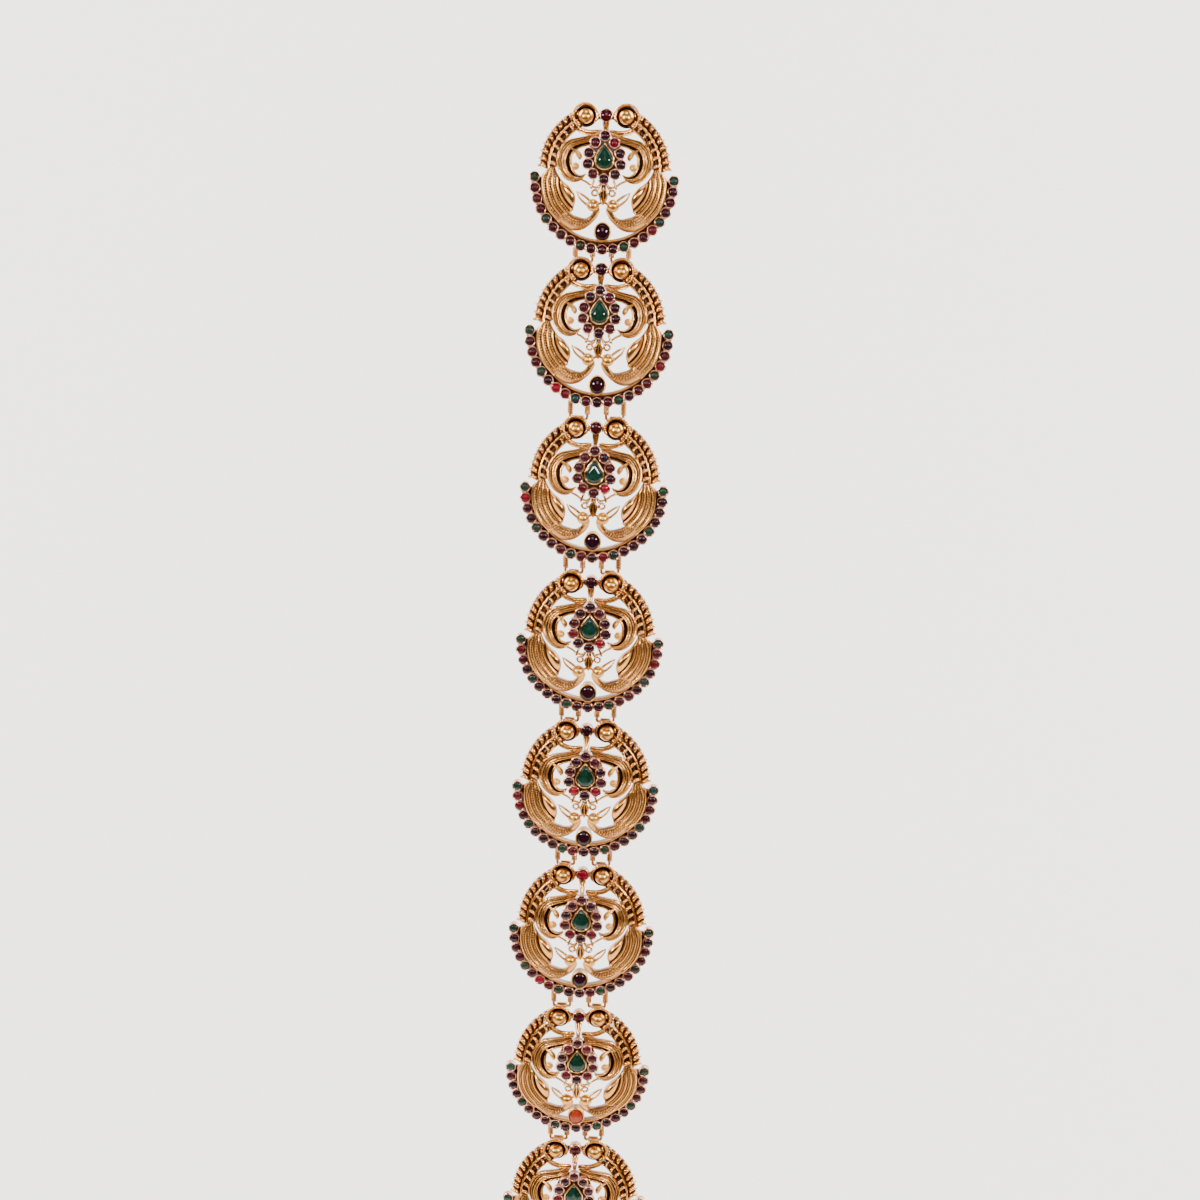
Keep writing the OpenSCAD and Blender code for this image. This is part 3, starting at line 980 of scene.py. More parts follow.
def tube(flat: np.ndarray, lift: np.ndarray | float, radius: np.ndarray | float, sizes: Sizes) -> np.ndarray:
    """A path on the dome with its radius, as the wire and bead trees read it."""
    p = sizes.on_dome(flat[:, :2], lift)
    return np.column_stack([p, np.broadcast_to(np.asarray(radius, float), len(p))])


def tapered(count: int, radius: float, start: float = 0.3, end: float = 0.3, share: float = 0.12
            ) -> np.ndarray:
    """Radii along a wire that thins towards its ends.

    Args:
        count: Number of points.
        radius: Radius of the middle.
        start: Share of it at the start.
        end: Share of it at the end.
        share: Share of the length over which it thins.

    Returns:
        A radius for each point.
    """
    t = np.linspace(0, 1, count)
    rise = start + (1 - start) * blend(t, 0, share)
    fall = end + (1 - end) * (1 - blend(t, 1 - share, 1))
    return radius * np.minimum(rise, fall)


# ---- Sub-assemblies of a setting --------------------------------------------------------------


@dataclass
class Piece:
    """A part of a setting, cast at the workbench.

    Attributes:
        sizes: The ornament's sizes.
        bench: The workbench.
        casting: What the part goes into.
    """

    sizes: Sizes
    bench: Bench
    casting: Casting


@dataclass
class EdgeRing(Piece):
    """The flange and the plain ring along the lower edge, with a curl at each end; the round collets on it
    are cast on their own.
    """

    steps: int = 72

    def build(self) -> None:
        """Casts the ring."""
        s = self.sizes
        low, high, outer = s.rim_r - s.wire_r, s.rim_r + s.wire_r + 0.1, s.ring_r + s.collet_r * 0.6
        # Each section point's third number is its darkness: the plain ring bright on top and darker down its
        # sides, the gaps beside it dark, as tarnish and painted shade.
        section = [(low, -s.flange_t, 0.45), (low + 0.02, 0.2, 0.9), (low, s.rim_h - 0.1, 0.55)]
        for i in range(7):
            a = math.pi - math.pi * i / 6
            r, z = s.rim_r + s.wire_r * math.cos(a), s.rim_h + s.wire_r * math.sin(a)
            section.append((r, z, abs(i - 3) / 3 * 0.5))
        section += [
            (high, s.rim_h - 0.3, 0.9), (high, 0.15, 1.0), (high + 0.25, 0.0, 1.0),
            (s.ring_r + s.collet_r * 0.55, 0.0, 0.9), (outer, -0.2, 0.7), (outer, -s.flange_t, 0.45),
        ]
        angles = np.linspace(s.edge_angle(0), s.edge_angle(s.edge_count - 1), self.steps)
        rows = [[(r * math.cos(a), r * math.sin(a), z) for r, z, _ in section] for a in angles]
        points = np.array(rows).reshape(-1, 3)
        n = len(section)
        faces = grid_faces(self.steps, n, loop=True)
        faces += [tuple(range(n)), tuple(range((self.steps - 1) * n, self.steps * n))]
        self.casting.put((points, faces, np.tile([d for _, _, d in section], self.steps)))
        curl = np.array([(-22.0, -0.4), (-21.9, 0.9), (-21.3, 2.0), (-20.4, 2.7), (-19.4, 3.0)])
        path = tube(smooth_path(curl, 14), np.linspace(0.0, 0.4, 14), tapered(14, 0.5, 1.0, 0.5, 0.3), s)
        path[:, 2] = np.maximum(path[:, 2], s.rim_h)
        self.bench.wire(self.casting, [path, path * [-1, 1, 1, 1]])


@dataclass
class Collets(Piece):
    """Thin-walled round collets of uneven outline, soldered on their seats.

    Attributes:
        radius: Their outer radius.
        foot: Height of their feet over the seat.
        lip: Height of their lips.
        floor: Height of their floors.
        wall: Thickness of their walls.
        seed: Seed of their turns and sizes.
    """

    radius: float
    foot: float
    lip: float
    floor: float
    wall: float = 0.46
    seed: int = 11

    def pattern(self) -> Shape:
        """One collet: foot, flared wall, rounded lip and floor.

        Returns:
            Its vertices and faces.
        """
        r, w = self.radius, self.wall
        outline = RoundOutline(r, 22, ((6, 0.020, 0.3), (5, 0.016, 1.2), (2, 0.012, 2.0)))
        profile = [
            (0.24, self.foot, 0), (0.10, (self.foot + self.lip) * 0.4, 0), (0.0, self.lip - 0.2, 0),
            (w * 0.18, self.lip - 0.04, 0), (w * 0.5, self.lip, 0), (w * 0.84, self.lip - 0.06, 0),
            (w, self.lip - 0.25, 0), (w + 0.08, self.floor, 0),
        ]
        points, faces, _ = turned(outline, profile)
        points, faces, _ = outward(points, faces)
        return points, faces

    def build(self, at: np.ndarray) -> None:
        """Casts a collet at each point.

        Args:
            at: Their places, one row each.
        """
        rng = random.Random(self.seed)
        turn = np.array([(0, 0, rng.uniform(0, 2 * math.pi)) for _ in at])
        size = np.array([(f := rng.uniform(0.99, 1.03), f, rng.uniform(0.97, 1.0)) for _ in at])
        mesh = self.bench.seat(self.pattern(), at, turn, size, self.bench.finishes[Metal.ROSE.value])
        points, faces = unpacked(mesh)
        centre = np.repeat(at, len(points) // len(at), axis=0)
        out = np.linalg.norm((points - centre)[:, :2], axis=1)
        height = points[:, 2] - centre[:, 2]
        # Dark inside under the lip and darker towards the foot: tarnish and painted shade.
        inside = (out < self.radius - self.wall - 0.02) & (height < self.lip - 0.25)
        dark = np.where(inside, 1.0, 0.55 - 0.55 * blend(height, self.foot, self.lip - 0.3))
        self.casting.add((points, faces, dark), Metal.ROSE)


@dataclass
class UpperBand(Piece):
    """The left-hand band over the plumes: a plain wire between a row of large and one of small rope ribs.

    Attributes:
        centre: What the band bends round.
        outer_r: Radius of the row of large ribs.
        wire_at: Radius of the plain wire.
        inner_r: Radius of the row of small ribs.
        outer_ribs: Number of large ribs.
        inner_ribs: Number of small ribs.
        outer_span: Angles of the first and the last large rib.
        inner_span: Angles of the first and the last small rib.
        outer_size: Half lengths of the first and the last large rib.
        inner_size: Half lengths of the first and the last small rib.
        plate_span: Angles of the plate's ends.
        plate_r: Radii of its edges.
        slant: How far each rib is turned out of square, in degrees.
    """

    centre: Point = (0.0, 4.0)
    outer_r: float = 22.05
    wire_at: float = 20.0
    inner_r: float = 18.45
    outer_ribs: int = 10
    inner_ribs: int = 7
    outer_span: Point = (1.6, 62.0)
    inner_span: Point = (4.5, 58.5)
    outer_size: Point = (2.05, 1.60)
    inner_size: Point = (1.50, 1.15)
    plate_span: Point = (0.5, 63.0)
    plate_r: Point = (17.1, 22.9)
    slant: float = -12.0

    def at(self, radius: float | np.ndarray, degrees: np.ndarray) -> np.ndarray:
        """Flat points of the band at angles up from its lower end."""
        a = np.radians(degrees)
        return np.column_stack([self.centre[0] - radius * np.cos(a), self.centre[1] + radius * np.sin(a)])

    def rib(self) -> Shape:
        """One turn of rope: a bent, full capsule, long in x, its back to z.

        Returns:
            Its vertices and faces.
        """
        rows, n = 11, 10
        points = []
        for i in range(rows):
            t = -1 + 2 * i / (rows - 1)
            swell = math.sqrt(max(0.0, 1 - abs(t) ** 4))
            for j in range(n):
                a = 2 * math.pi * j / n
                y = 0.46 * swell * math.cos(a) + 0.50 * (t * t - 0.35)
                z = 0.62 * swell * math.sin(a) + 0.30 * (1 - t * t)
                points.append((t, y, z))
        points, faces, _ = outward(np.array(points), grid_faces(rows, n, loop=True))
        return points, faces

    def ribs(self, radius: float, count: int, span: Point,
             size: Point) -> None:
        """Casts a row of ribs.

        Args:
            radius: Radius of the row about the band's centre.
            count: Number of ribs.
            span: Angles of the first and the last rib.
            size: Half length of the first and of the last rib.
        """
        s = self.sizes
        degrees = np.linspace(span[0], span[1], count)
        flat = self.at(radius, degrees)
        turn, scale = [], []
        for (x, y), a, i in zip(flat, degrees, range(count)):
            out = Vector((-math.cos(math.radians(a)), math.sin(math.radians(a)), 0))
            up = Vector((x, y, s.sphere_r)).normalized()
            along = (out - up * out.dot(up)).normalized()
            upright = Matrix((along, up.cross(along), up)).transposed()
            turn.append(tuple((Matrix.Rotation(math.radians(self.slant), 3, up) @ upright).to_euler()))
            scale.append((size[0] + (size[1] - size[0]) * (i / (count - 1)) ** 1.6,) * 3)
        at = s.on_dome(flat, 0.5)
        mesh = self.bench.seat(self.rib(), at, np.array(turn), np.array(scale), self.bench.finishes[0])
        self.bench.pour(self.casting, mesh, Metal.ANTIQUE, facing=(-0.35, 0.55))

    def build(self) -> None:
        """Casts the band."""
        s = self.sizes
        a = np.linspace(*self.plate_span, 26)
        r = np.linspace(*self.plate_r, 8)
        top = np.array([s.on_dome(self.at(x, a), -0.1) for x in r]).transpose(1, 0, 2)
        # The plate and the cores under the ribs are dark all over: tarnish and painted shade between the
        # ribs.
        self.casting.put(domed_plate(top, top - [0, 0, s.plate_t - 0.2], np.full(top.shape[:2], 0.85)))
        n = 40
        a = np.linspace(0, 63.5, n)
        cores = [tube(self.at(self.outer_r + 0.1, a), -0.5, tapered(n, 1.2, 0.75, 0.75, 0.04), s),
                 tube(self.at(self.inner_r - 0.1, a), -0.4, tapered(n, 0.8, 0.7, 0.7, 0.04), s)]
        self.bench.wire(self.casting, cores, sides=12, dark=0.9)
        self.ribs(self.outer_r, self.outer_ribs, self.outer_span, self.outer_size)
        self.ribs(self.inner_r, self.inner_ribs, self.inner_span, self.inner_size)
        a = np.linspace(-3.5, 60, n)
        wire = tube(self.at(self.wire_at, a), 0.75, tapered(n, 0.5, 0.7, 0.6, 0.05), s)
        self.bench.wire(self.casting, [wire], facing=(-0.6, 0.4))
        edge = tube(self.at(self.plate_r[0] + 0.2, np.linspace(3, 58, 30)), 0.05, tapered(30, 0.3), s)
        self.bench.wire(self.casting, [edge], sides=8)


@dataclass
class Plume(Piece):
    """The left-hand C-shaped plume of plain and milled ridges, curled round a ball and a bud.

    Attributes:
        outer: Its outer edge, from the flower round to the tip.
        inner: Its inner edge, place for place.
        smooth_rows: Place across, from the inner edge at 0, and radius of each plain ridge.
        milled_rows: The same for each milled ridge.
        slits: Place across and width of each groove.
        swell: How far it swells over the dome.
        steps: Number of places along it.
    """

    outer: tuple[Point, ...] = (
        (-1.2, 17.5), (-5.2, 16.0), (-10.0, 14.8), (-13.1, 13.8), (-15.5, 11.5), (-16.9, 8.3), (-16.9, 5.7),
        (-15.8, 2.8), (-13.6, 0.4), (-10.9, -0.6), (-8.3, 0.1), (-6.5, 2.3),
    )
    inner: tuple[Point, ...] = (
        (-3.4, 13.6), (-5.8, 12.7), (-8.4, 11.9), (-10.7, 10.5), (-11.8, 8.8), (-12.1, 7.0), (-11.9, 5.2),
        (-11.3, 3.6), (-10.4, 2.4), (-9.2, 1.8), (-7.9, 1.8), (-6.6, 2.4),
    )
    smooth_rows: tuple[tuple[float, float], ...] = ((0.97, 0.50), (0.60, 0.35), (0.42, 0.38), (0.0, 0.46))
    milled_rows: tuple[tuple[float, float], ...] = ((0.78, 0.40),)
    slits: tuple[tuple[float, float], ...] = ((0.69, 0.035), (0.51, 0.035), (0.21, 0.11))
    swell: float = 0.75
    steps: int = 46

    def bulge(self, share: float | np.ndarray, width: float | np.ndarray) -> np.ndarray:
        """How far the plume swells over the dome, from its inner edge at 0 to its outer edge at 1."""
        return self.swell * np.sin(math.pi * (0.12 + 0.74 * share)) * np.clip(width / 4.5, 0.2, 1)

    def row(self, share: float, radius: float, lift: float) -> np.ndarray:
        """A line along the plume.

        Args:
            share: Its place, from the inner edge at 0 to the outer edge at 1.
            radius: Its radius where the plume is widest.
            lift: Its height over the plume's face.

        Returns:
            Rows of x, y, z and radius.
        """
        low = smooth_path(self.inner, self.steps)
        high = smooth_path(self.outer, self.steps)
        width = np.linalg.norm(high - low, axis=1)
        size = radius * np.clip(width / 4.2, 0.45, 1.0)
        return tube(low + (high - low) * share, lift + self.bulge(share, width), size, self.sizes)

    def build(self) -> None:
        """Casts the plume."""
        s = self.sizes
        low, high = smooth_path(self.inner, self.steps), smooth_path(self.outer, self.steps)
        shares = np.linspace(0.0, 1.0, 17)
        slit = sum(np.exp(-(((shares - at) / wide) ** 2)) for at, wide in self.slits)
        width = np.linalg.norm(high - low, axis=1)
        top = []
        for i in range(self.steps):
            flat = low[i] + (high[i] - low[i]) * shares[:, None]
            top.append(s.on_dome(flat, self.bulge(shares, width[i]) - 0.1 - min(0.9, width[i] * 0.25) * slit))
        top = np.array(top)
        back = top.copy()
        back[:, :, 2] = s.dome(top[:, :, 0], top[:, :, 1]) - s.plate_t
        # Dark under the ridges and darker in the grooves: tarnish and painted shade.
        dark = np.tile(np.clip(0.85 + 0.3 * slit, 0, 1), (self.steps, 1))
        self.casting.add(domed_plate(top, back, dark))
        smooth = []
        for share, radius in self.smooth_rows:
            path = self.row(share, radius, 0.22)
            path[:, 3] *= tapered(self.steps, 1.0, 0.6, 0.6, 0.06)
            smooth.append(even_path(path, self.steps))
        self.bench.wire(self.casting, smooth, sides=8, facing=(-0.5, 0.6))
        milled = [even_path(self.row(f, r, 0.16), self.steps) for f, r in self.milled_rows]
        self.bench.bead(self.casting, milled, pitch=1.85, facets=1, dull=0.08)
        self.curl()

    def curl(self) -> None:
        """Casts the ball and the drop-shaped bud inside the curl, each on its stalk."""
        s = self.sizes
        ball = s.on_dome([(-10.35, 4.95)], 0.6)[0]
        self.casting.ball(s, ball, 1.45, 1.45, 20, Metal.SATIN)
        bud = smooth_path([(-12.0, 11.1, 0.35), (-10.9, 10.6, 0.5), (-9.9, 9.9, 0.85), (-9.2, 9.0, 1.05),
                           (-8.9, 8.1, 0.85), (-9.0, 7.3, 0.3)], 18)
        stalk = smooth_path([(-12.2, 5.4, 0.4), (-11.4, 5.2, 0.55), (-10.6, 5.0, 0.55)], 6)
        self.bench.wire(self.casting, [tube(bud, 0.45, bud[:, 2], s)], Metal.SATIN, 12)
        self.bench.wire(self.casting, [tube(stalk, 0.1, stalk[:, 2], s)], Metal.ANTIQUE, 8)


@dataclass
class Bird(Piece):
    """The left-hand bird: a wing of plain and milled rows, a smooth breast, a scaled neck, head and beak.

    Attributes:
        outer: Rim side of the body, from the tip of the tail.
        inner: Inner side of the body, place for place.
        ridges: Place of each plain row across the wing, from its inner side at 0.
        milled: Place of each milled row.
        neck_outer: Lower side of the neck, from the body to the head.
        neck_inner: Upper side of the neck, place for place.
        scales: Place across the neck and radius of each row of scales.
        head: Centre of the head.
        breast_h: How far the breast swells.
        wing_h: How far the wing swells.
        steps: Number of places along the body.
    """

    outer: tuple[Point, ...] = (
        (-18.5, 5.2), (-20.9, 2.6), (-22.2, -0.9), (-22.0, -4.9), (-20.8, -8.8), (-18.7, -12.2),
        (-15.6, -15.2),
    )
    inner: tuple[Point, ...] = (
        (-17.9, 5.0), (-16.7, 2.0), (-14.7, -0.6), (-12.2, -2.5), (-10.4, -5.0), (-10.0, -7.8),
        (-10.7, -10.6),
    )
    ridges: tuple[float, ...] = (0.96, 0.69, 0.41, 0.12)
    milled: tuple[float, ...] = (0.83, 0.55, 0.27)
    neck_outer: tuple[Point, ...] = (
        (-20.8, -8.8), (-18.7, -12.4), (-15.7, -15.6), (-12.4, -17.8), (-9.7, -18.5), (-6.9, -17.8),
        (-4.5, -16.0), (-2.3, -13.5), (-1.1, -10.9), (-1.3, -9.0),
    )
    neck_inner: tuple[Point, ...] = (
        (-15.0, -8.0), (-13.4, -10.2), (-11.8, -11.8), (-10.4, -12.7), (-8.7, -13.2), (-7.1, -13.6),
        (-5.7, -13.4), (-4.4, -12.2), (-3.6, -10.9), (-3.9, -9.6),
    )
    scales: tuple[tuple[float, float], ...] = ((0.10, 0.42), (0.25, 0.50), (0.41, 0.54), (0.57, 0.50))
    head: Point = (-3.6, -8.7)
    breast_h: float = 2.3
    wing_h: float = 1.35
    steps: int = 44

    def crest(self, s: np.ndarray) -> np.ndarray:
        """Where the breast ends and the wing begins, as a share of the width, along the body."""
        return 0.36 * np.sin(math.pi * np.clip((s - 0.24) / 0.74, 0, 1)) ** 0.8

    def height(self, s: np.ndarray, f: np.ndarray) -> np.ndarray:
        """Height of the body over the dome.

        Args:
            s: Place along the body, from the tip at 0 to the neck at 1.
            f: Place across it, from the inner side at 0 to the rim at 1.

        Returns:
            A height for each place.
        """
        split = self.crest(s)
        ends = np.sqrt(np.clip(np.sin(math.pi * np.clip(0.04 + 0.84 * s, 0, 1)), 0, 1))
        across = (f - split * 0.5) / np.maximum(split * 0.55, 1e-3)
        breast = np.sqrt(np.clip(1 - across**2, 0, 1)) * np.minimum(split / 0.36, 1)
        wing = np.clip(1 - ((f - (split + 1) / 2 - 0.02) / ((1 - split) / 2 + 0.06)) ** 2, 0, 1)
        return np.where(f < split, 0.25 + self.breast_h * breast, 0.2 + self.wing_h * np.sqrt(wing) * ends)

    def row(self, share: float, radius: float, lift: float, start: float = 0.03, end: float = 1.0
            ) -> np.ndarray:
        """A line along the wing.

        Args:
            share: Its place, from the wing's inner side at 0 to its rim at 1.
            radius: Its radius where the wing is widest.
            lift: Its height over the wing's face.
            start: Where it starts, from the tip at 0.
            end: Where it ends, with the neck at 1.

        Returns:
            Rows of x, y, z and radius.
        """
        low, high = smooth_path(self.inner, self.steps), smooth_path(self.outer, self.steps)
        s = np.linspace(0, 1, self.steps)
        split = self.crest(s)
        f = split + (1 - split) * share
        width = np.linalg.norm(high - low, axis=1) * (1 - split)
        size = radius * np.clip(width / 6.8, 0.30, 1.05)
        path = tube(low + (high - low) * f[:, None], self.height(s, f) + lift, size, self.sizes)
        return even_path(path[(s >= start) & (s <= end)], 40)

    def body(self) -> None:
        """Casts the breast and the wing under its rows."""
        z = self.sizes
        low, high = smooth_path(self.inner, self.steps), smooth_path(self.outer, self.steps)
        across = np.linspace(0, 1, 30)
        top, dark = [], []
        for i in range(self.steps):
            s = np.full(len(across), i / (self.steps - 1))
            split = self.crest(s)
            top.append(z.on_dome(low[i] + (high[i] - low[i]) * across[:, None], self.height(s, across)))
            # Dark along the seam, the breast's inner edge and the wing under its rows: tarnish and painted
            # shade.
            seam = np.exp(-(((across - split) / 0.03) ** 2)) * 0.8
            edge = (1 - blend(across, 0.0, 0.05)) * 0.5
            dark.append(np.where(across < split - 0.02, np.maximum(edge, seam), 0.90))
        top = np.array(top)
        back = top.copy()
        back[:, :, 2] = z.dome(top[:, :, 0], top[:, :, 1]) - z.plate_t
        self.casting.add(domed_plate(top, back, np.array(dark)))

    def build(self) -> None:
        """Casts the bird."""
        z = self.sizes
        self.neck()
        self.body()
        ridges = [self.row(f, 0.56 if f > 0.9 else 0.44, 0.20) for f in self.ridges]
        self.bench.wire(self.casting, ridges, sides=8, facing=(-0.6, 0.5))
        milled = [self.row(f, 0.50, 0.06, 0.05, 0.98) for f in self.milled]
        self.bench.bead(self.casting, milled, pitch=2.0, facets=1)
        hem = [(-10.9, -10.7, 0.40), (-12.4, -12.1, 0.46), (-14.0, -13.6, 0.5), (-15.8, -15.2, 0.5)]
        hem = smooth_path(hem, 16)
        self.bench.bead(self.casting, [tube(hem, 1.15, hem[:, 2], z)], pitch=1.8)
        self.face()

    def neck(self) -> None:
        """Casts the neck: rows of scales over a smooth belly that narrows to the throat."""
        z, steps = self.sizes, 46
        low, high = smooth_path(self.neck_inner, steps), smooth_path(self.neck_outer, steps)
        t = np.linspace(0, 1, steps)
        width = np.linalg.norm(high - low, axis=1)
        rise = np.minimum(0.42 * width, 2.2) * (0.45 + 0.55 * blend(t, 0.12, 0.34))
        base = 0.2 + 0.75 * blend(t, 0.55, 1.0)

        def over(share: float | np.ndarray, i: int | slice = slice(None)) -> np.ndarray:
            """Height of the neck over the dome."""
            return base[i] + rise[i] * np.sqrt(np.clip(1 - (2 * np.asarray(share) - 1) ** 2, 0, 1))

        across = 0.5 - 0.5 * np.cos(np.linspace(0, math.pi, 17))
        flats = [a + (b - a) * across[:, None] for a, b in zip(low, high)]
        top = np.array([z.on_dome(flat, over(across, i)) for i, flat in enumerate(flats)])
        back = top.copy()
        back[:, :, 2] = z.dome(top[:, :, 0], top[:, :, 1]) - z.plate_t + 1.2 * blend(t, 0.6, 1.0)[:, None]
        # Dark between the scales and along the inner edge, lighter on the smooth throat: tarnish and painted
        # shade.
        scaled = (1 - blend(t, 0.66, 0.74))[:, None]
        dark = np.where(across[None] < 0.66, 0.7, 0.12) * scaled + 0.08
        dark = np.maximum(dark, (1 - blend(across, 0, 0.1))[None] * 0.6)
        self.casting.add(domed_plate(top, back, np.clip(dark, 0, 1)))
        rows = []
        for share, grain in self.scales:
            flat = low + (high - low) * share
            row = tube(flat, over(share) + 0.16, grain * np.clip(width / 5.2, 0.55, 1.1), z)
            rows.append(even_path(row[8:32], 40))
        self.bench.bead(self.casting, rows, pitch=1.95, uneven=0.2)

    def face(self) -> None:
        """Casts the head with its eye, and the open beak."""
        z = self.sizes
        hx, hy = self.head
        centre = z.on_dome([self.head], 1.25)[0]
        self.casting.ball(z, centre, 2.3, 1.9, 26, Metal.SATIN)
        self.casting.ball(z, centre + [-0.35, 0.15, 1.68], 0.42, 0.36, 14, Metal.BRIGHT)
        steps = 18
        drop = 0.85 - 0.35 * np.linspace(0, 1, steps)
        upper = [(hx - 0.9, hy + 1.3, 0.50), (-6.1, -6.1, 0.50), (-7.9, -4.9, 0.42), (-9.6, -4.0, 0.16)]
        lower = [(hx - 1.5, hy - 0.5, 0.50), (-6.7, -8.0, 0.50), (-8.4, -6.4, 0.42), (-9.6, -4.1, 0.16)]
        bills = [smooth_path(bill, steps) for bill in (upper, lower)]
        self.bench.wire(self.casting, [tube(bill, drop, bill[:, 2], z) for bill in bills], sides=8)


@dataclass
class ScrollCup(Piece):
    """The left-hand cup with its ball, in a milled rim that goes over it and sweeps under it to the stem.

    Attributes:
        bowl_r: Radius of the cup.
        rim_r: Radius of the milled rim's wire.
        notch: Depth of its notches, as a share of that radius.
        notches: Number of notches.
        rim: Its way, from the stem.
    """

    bowl_r: float = 4.05
    rim_r: float = 0.64
    notch: float = 0.26
    notches: int = 37
    rim: tuple[Triple, ...] = (
        (-1.3, 17.9, 4.1), (-3.6, 17.4, 3.7), (-6.4, 17.3, 3.0), (-9.2, 18.3, 2.2), (-11.1, 20.5, 1.75),
        (-11.75, 23.2, 1.6), (-10.9, 25.6, 1.6), (-8.9, 26.95, 1.6), (-6.5, 27.0, 1.6), (-4.5, 25.9, 1.6),
        (-3.35, 24.1, 1.65), (-3.25, 22.2, 1.7), (-4.1, 20.6, 1.8),
    )

    def build(self) -> None:
        """Casts the cup."""
        s = self.sizes
        x, y = s.cup_at
        here = np.array([-x, y + 0.15, 0.0])
        # The bowl goes dark inside: tarnish and painted shade.
        profile = [
            (0.55, -s.flange_t, 0.45), (0.4, -s.flange_t + 0.05, 0.45), (0.2, 0.2, 0.7), (0.0, 0.95, 0.8),
            (0.08, 1.35, 0.75), (0.25, 1.38, 0.8), (0.4, 1.05, 0.95), (0.6, 0.98, 0.75), (0.72, 0.95, 0.85),
            (0.9, 0.55, 1.0), (1.7, 0.15, 1.0), (3.2, -0.05, 1.0),
        ]
        self.casting.put(turned(RoundOutline(self.bowl_r, 36), profile), at=here)
        n = 140
        path = even_path(smooth_path(self.rim, 160), n)
        t = np.linspace(0, 1, n)
        depth = self.notch * blend(t, 0.24, 0.30) * (1 - 0.65 * blend(t, 0.62, 0.72))
        milled = 1 - depth * (0.5 - 0.5 * np.cos(2 * math.pi * t * self.notches)) ** 0.6
        rim = np.column_stack([path + [0, 0, 0.1], tapered(n, self.rim_r, 0.5, 0.5, 0.04) * milled])
        self.bench.wire(self.casting, [rim], sides=9, facing=(-0.4, 0.6))
        under = smooth_path([(-1.1, 17.0, 4.3), (-3.6, 16.45, 3.95), (-6.4, 16.35, 3.3), (-9.4, 17.2, 2.4),
                             (-11.6, 19.2, 1.75), (-12.4, 21.2, 1.4)], 34)
        self.bench.wire(self.casting, [np.column_stack([under, tapered(34, 0.42, 0.5, 0.4, 0.15)])], sides=8)
        # The web under the rim is dark all over: tarnish and painted shade.
        web = smooth_path([(-2.0, 17.35, 3.6), (-4.0, 16.9, 3.2), (-6.5, 16.8, 2.7), (-9.3, 17.8, 1.9),
                           (-11.2, 19.8, 1.3)], 24)
        web = np.column_stack([web, tapered(24, 0.6, 0.5, 0.5, 0.1)])
        self.bench.wire(self.casting, [web], sides=8, dark=0.95)
        ball = here + [0.05, 0.1, s.cup_floor + s.ball_r * 0.3]
        self.casting.ball(s, ball, s.ball_r + 0.1, s.ball_r, 30, Metal.SATIN)


@dataclass
class Flower(Piece):
    """The raised flower: ten rose collets round a pear bezel, on a hub over a round base.

    Attributes:
        hub_r: Radius of the hub.
        hub_y: Height of its centre on the plate.
        base_r: Radius of the base.
        dark: Darkness of both: painted shadow under the raised flower.
    """

    hub_r: float = 4.25
    hub_y: float = 8.5
    base_r: float = 6.7
    dark: float = 0.9

    def build(self) -> None:
        """Casts the flower."""
        s = self.sizes
        base, n, count = RoundOutline(self.base_r, 40), 40, 8
        insets = self.base_r - np.linspace(self.base_r, 0.4, count)
        rings = np.array([s.on_dome(base(inset) + [0, self.hub_y], -0.2) for inset in insets])
        under = rings[::-1].copy()
        under[:, :, 2] -= s.plate_t - 0.35
        both = np.vstack([rings.reshape(-1, 3), under.reshape(-1, 3)])
        last = (2 * count - 1) * n
        faces = grid_faces(2 * count, n, loop=True)
        faces += [(i, (i + 1) % n, last + (i + 1) % n, last + i) for i in range(n)]
        self.casting.put((both, faces, np.full(len(both), self.dark)))
        low, high = s.dome_h - 3, s.flower_z - 0.45
        profile = [(0, low), (0, low + 0.3), (0.1, high - 0.3), (0, high), (1.5, high + 0.1)]
        hub = turned(RoundOutline(self.hub_r, 32), [(inset, z, self.dark) for inset, z in profile])
        self.casting.put(hub, at=(0, self.hub_y, 0))
        seats = s.flower_places
        around = []
        for i in range(10):
            a, b = seats[i], seats[(i + 1) % 10]
            around += [a[:2] * 1.0, (a[:2] + b[:2]) / 2]
        z = s.flower_z
        # The star plate between the collets is dark all over: painted shade between them.
        profile = [(0.0, z - 0.9, 0.0), (0.0, z - 0.1, 0.0), (0.08, z, 0.0), (0.6, z, 0.0)]
        self.casting.put(turned(StarOutline(np.array(around)), profile), dark=0.95)
        Collets(s, self.bench, self.casting, s.collet_r, -0.9, s.collet_h, 0.25, seed=23).build(seats)
        self.bezel()

    def bezel(self) -> None:
        """Casts the bright pear bezel."""
        s = self.sizes
        w, z = s.bezel_wall, s.flower_z
        lip = z + s.pear_h
        # The lip is bright, the foot and the inner side dark: tarnish and painted shade.
        profile = [
            (0.25, z - 0.85, 0.8), (0.12, z - 0.7, 0.8), (0.06, z + 0.4, 0.7), (0.0, z + 1.5, 0.25),
            (0.0, lip - 0.2, 0.0), (w * 0.2, lip - 0.03, 0.0), (w * 0.5, lip + 0.04, 0.0),
            (w * 0.8, lip - 0.03, 0.0), (w, lip - 0.25, 0.1), (w + 0.08, lip - 0.6, 0.7),
            (w + 0.1, z + 0.15, 1.0),
        ]
        bezel = turned(PearOutline(s.pear_w, s.pear_l, 64), profile)
        self.casting.put(bezel, Metal.BRIGHT, at=(0, s.pear_y, 0))


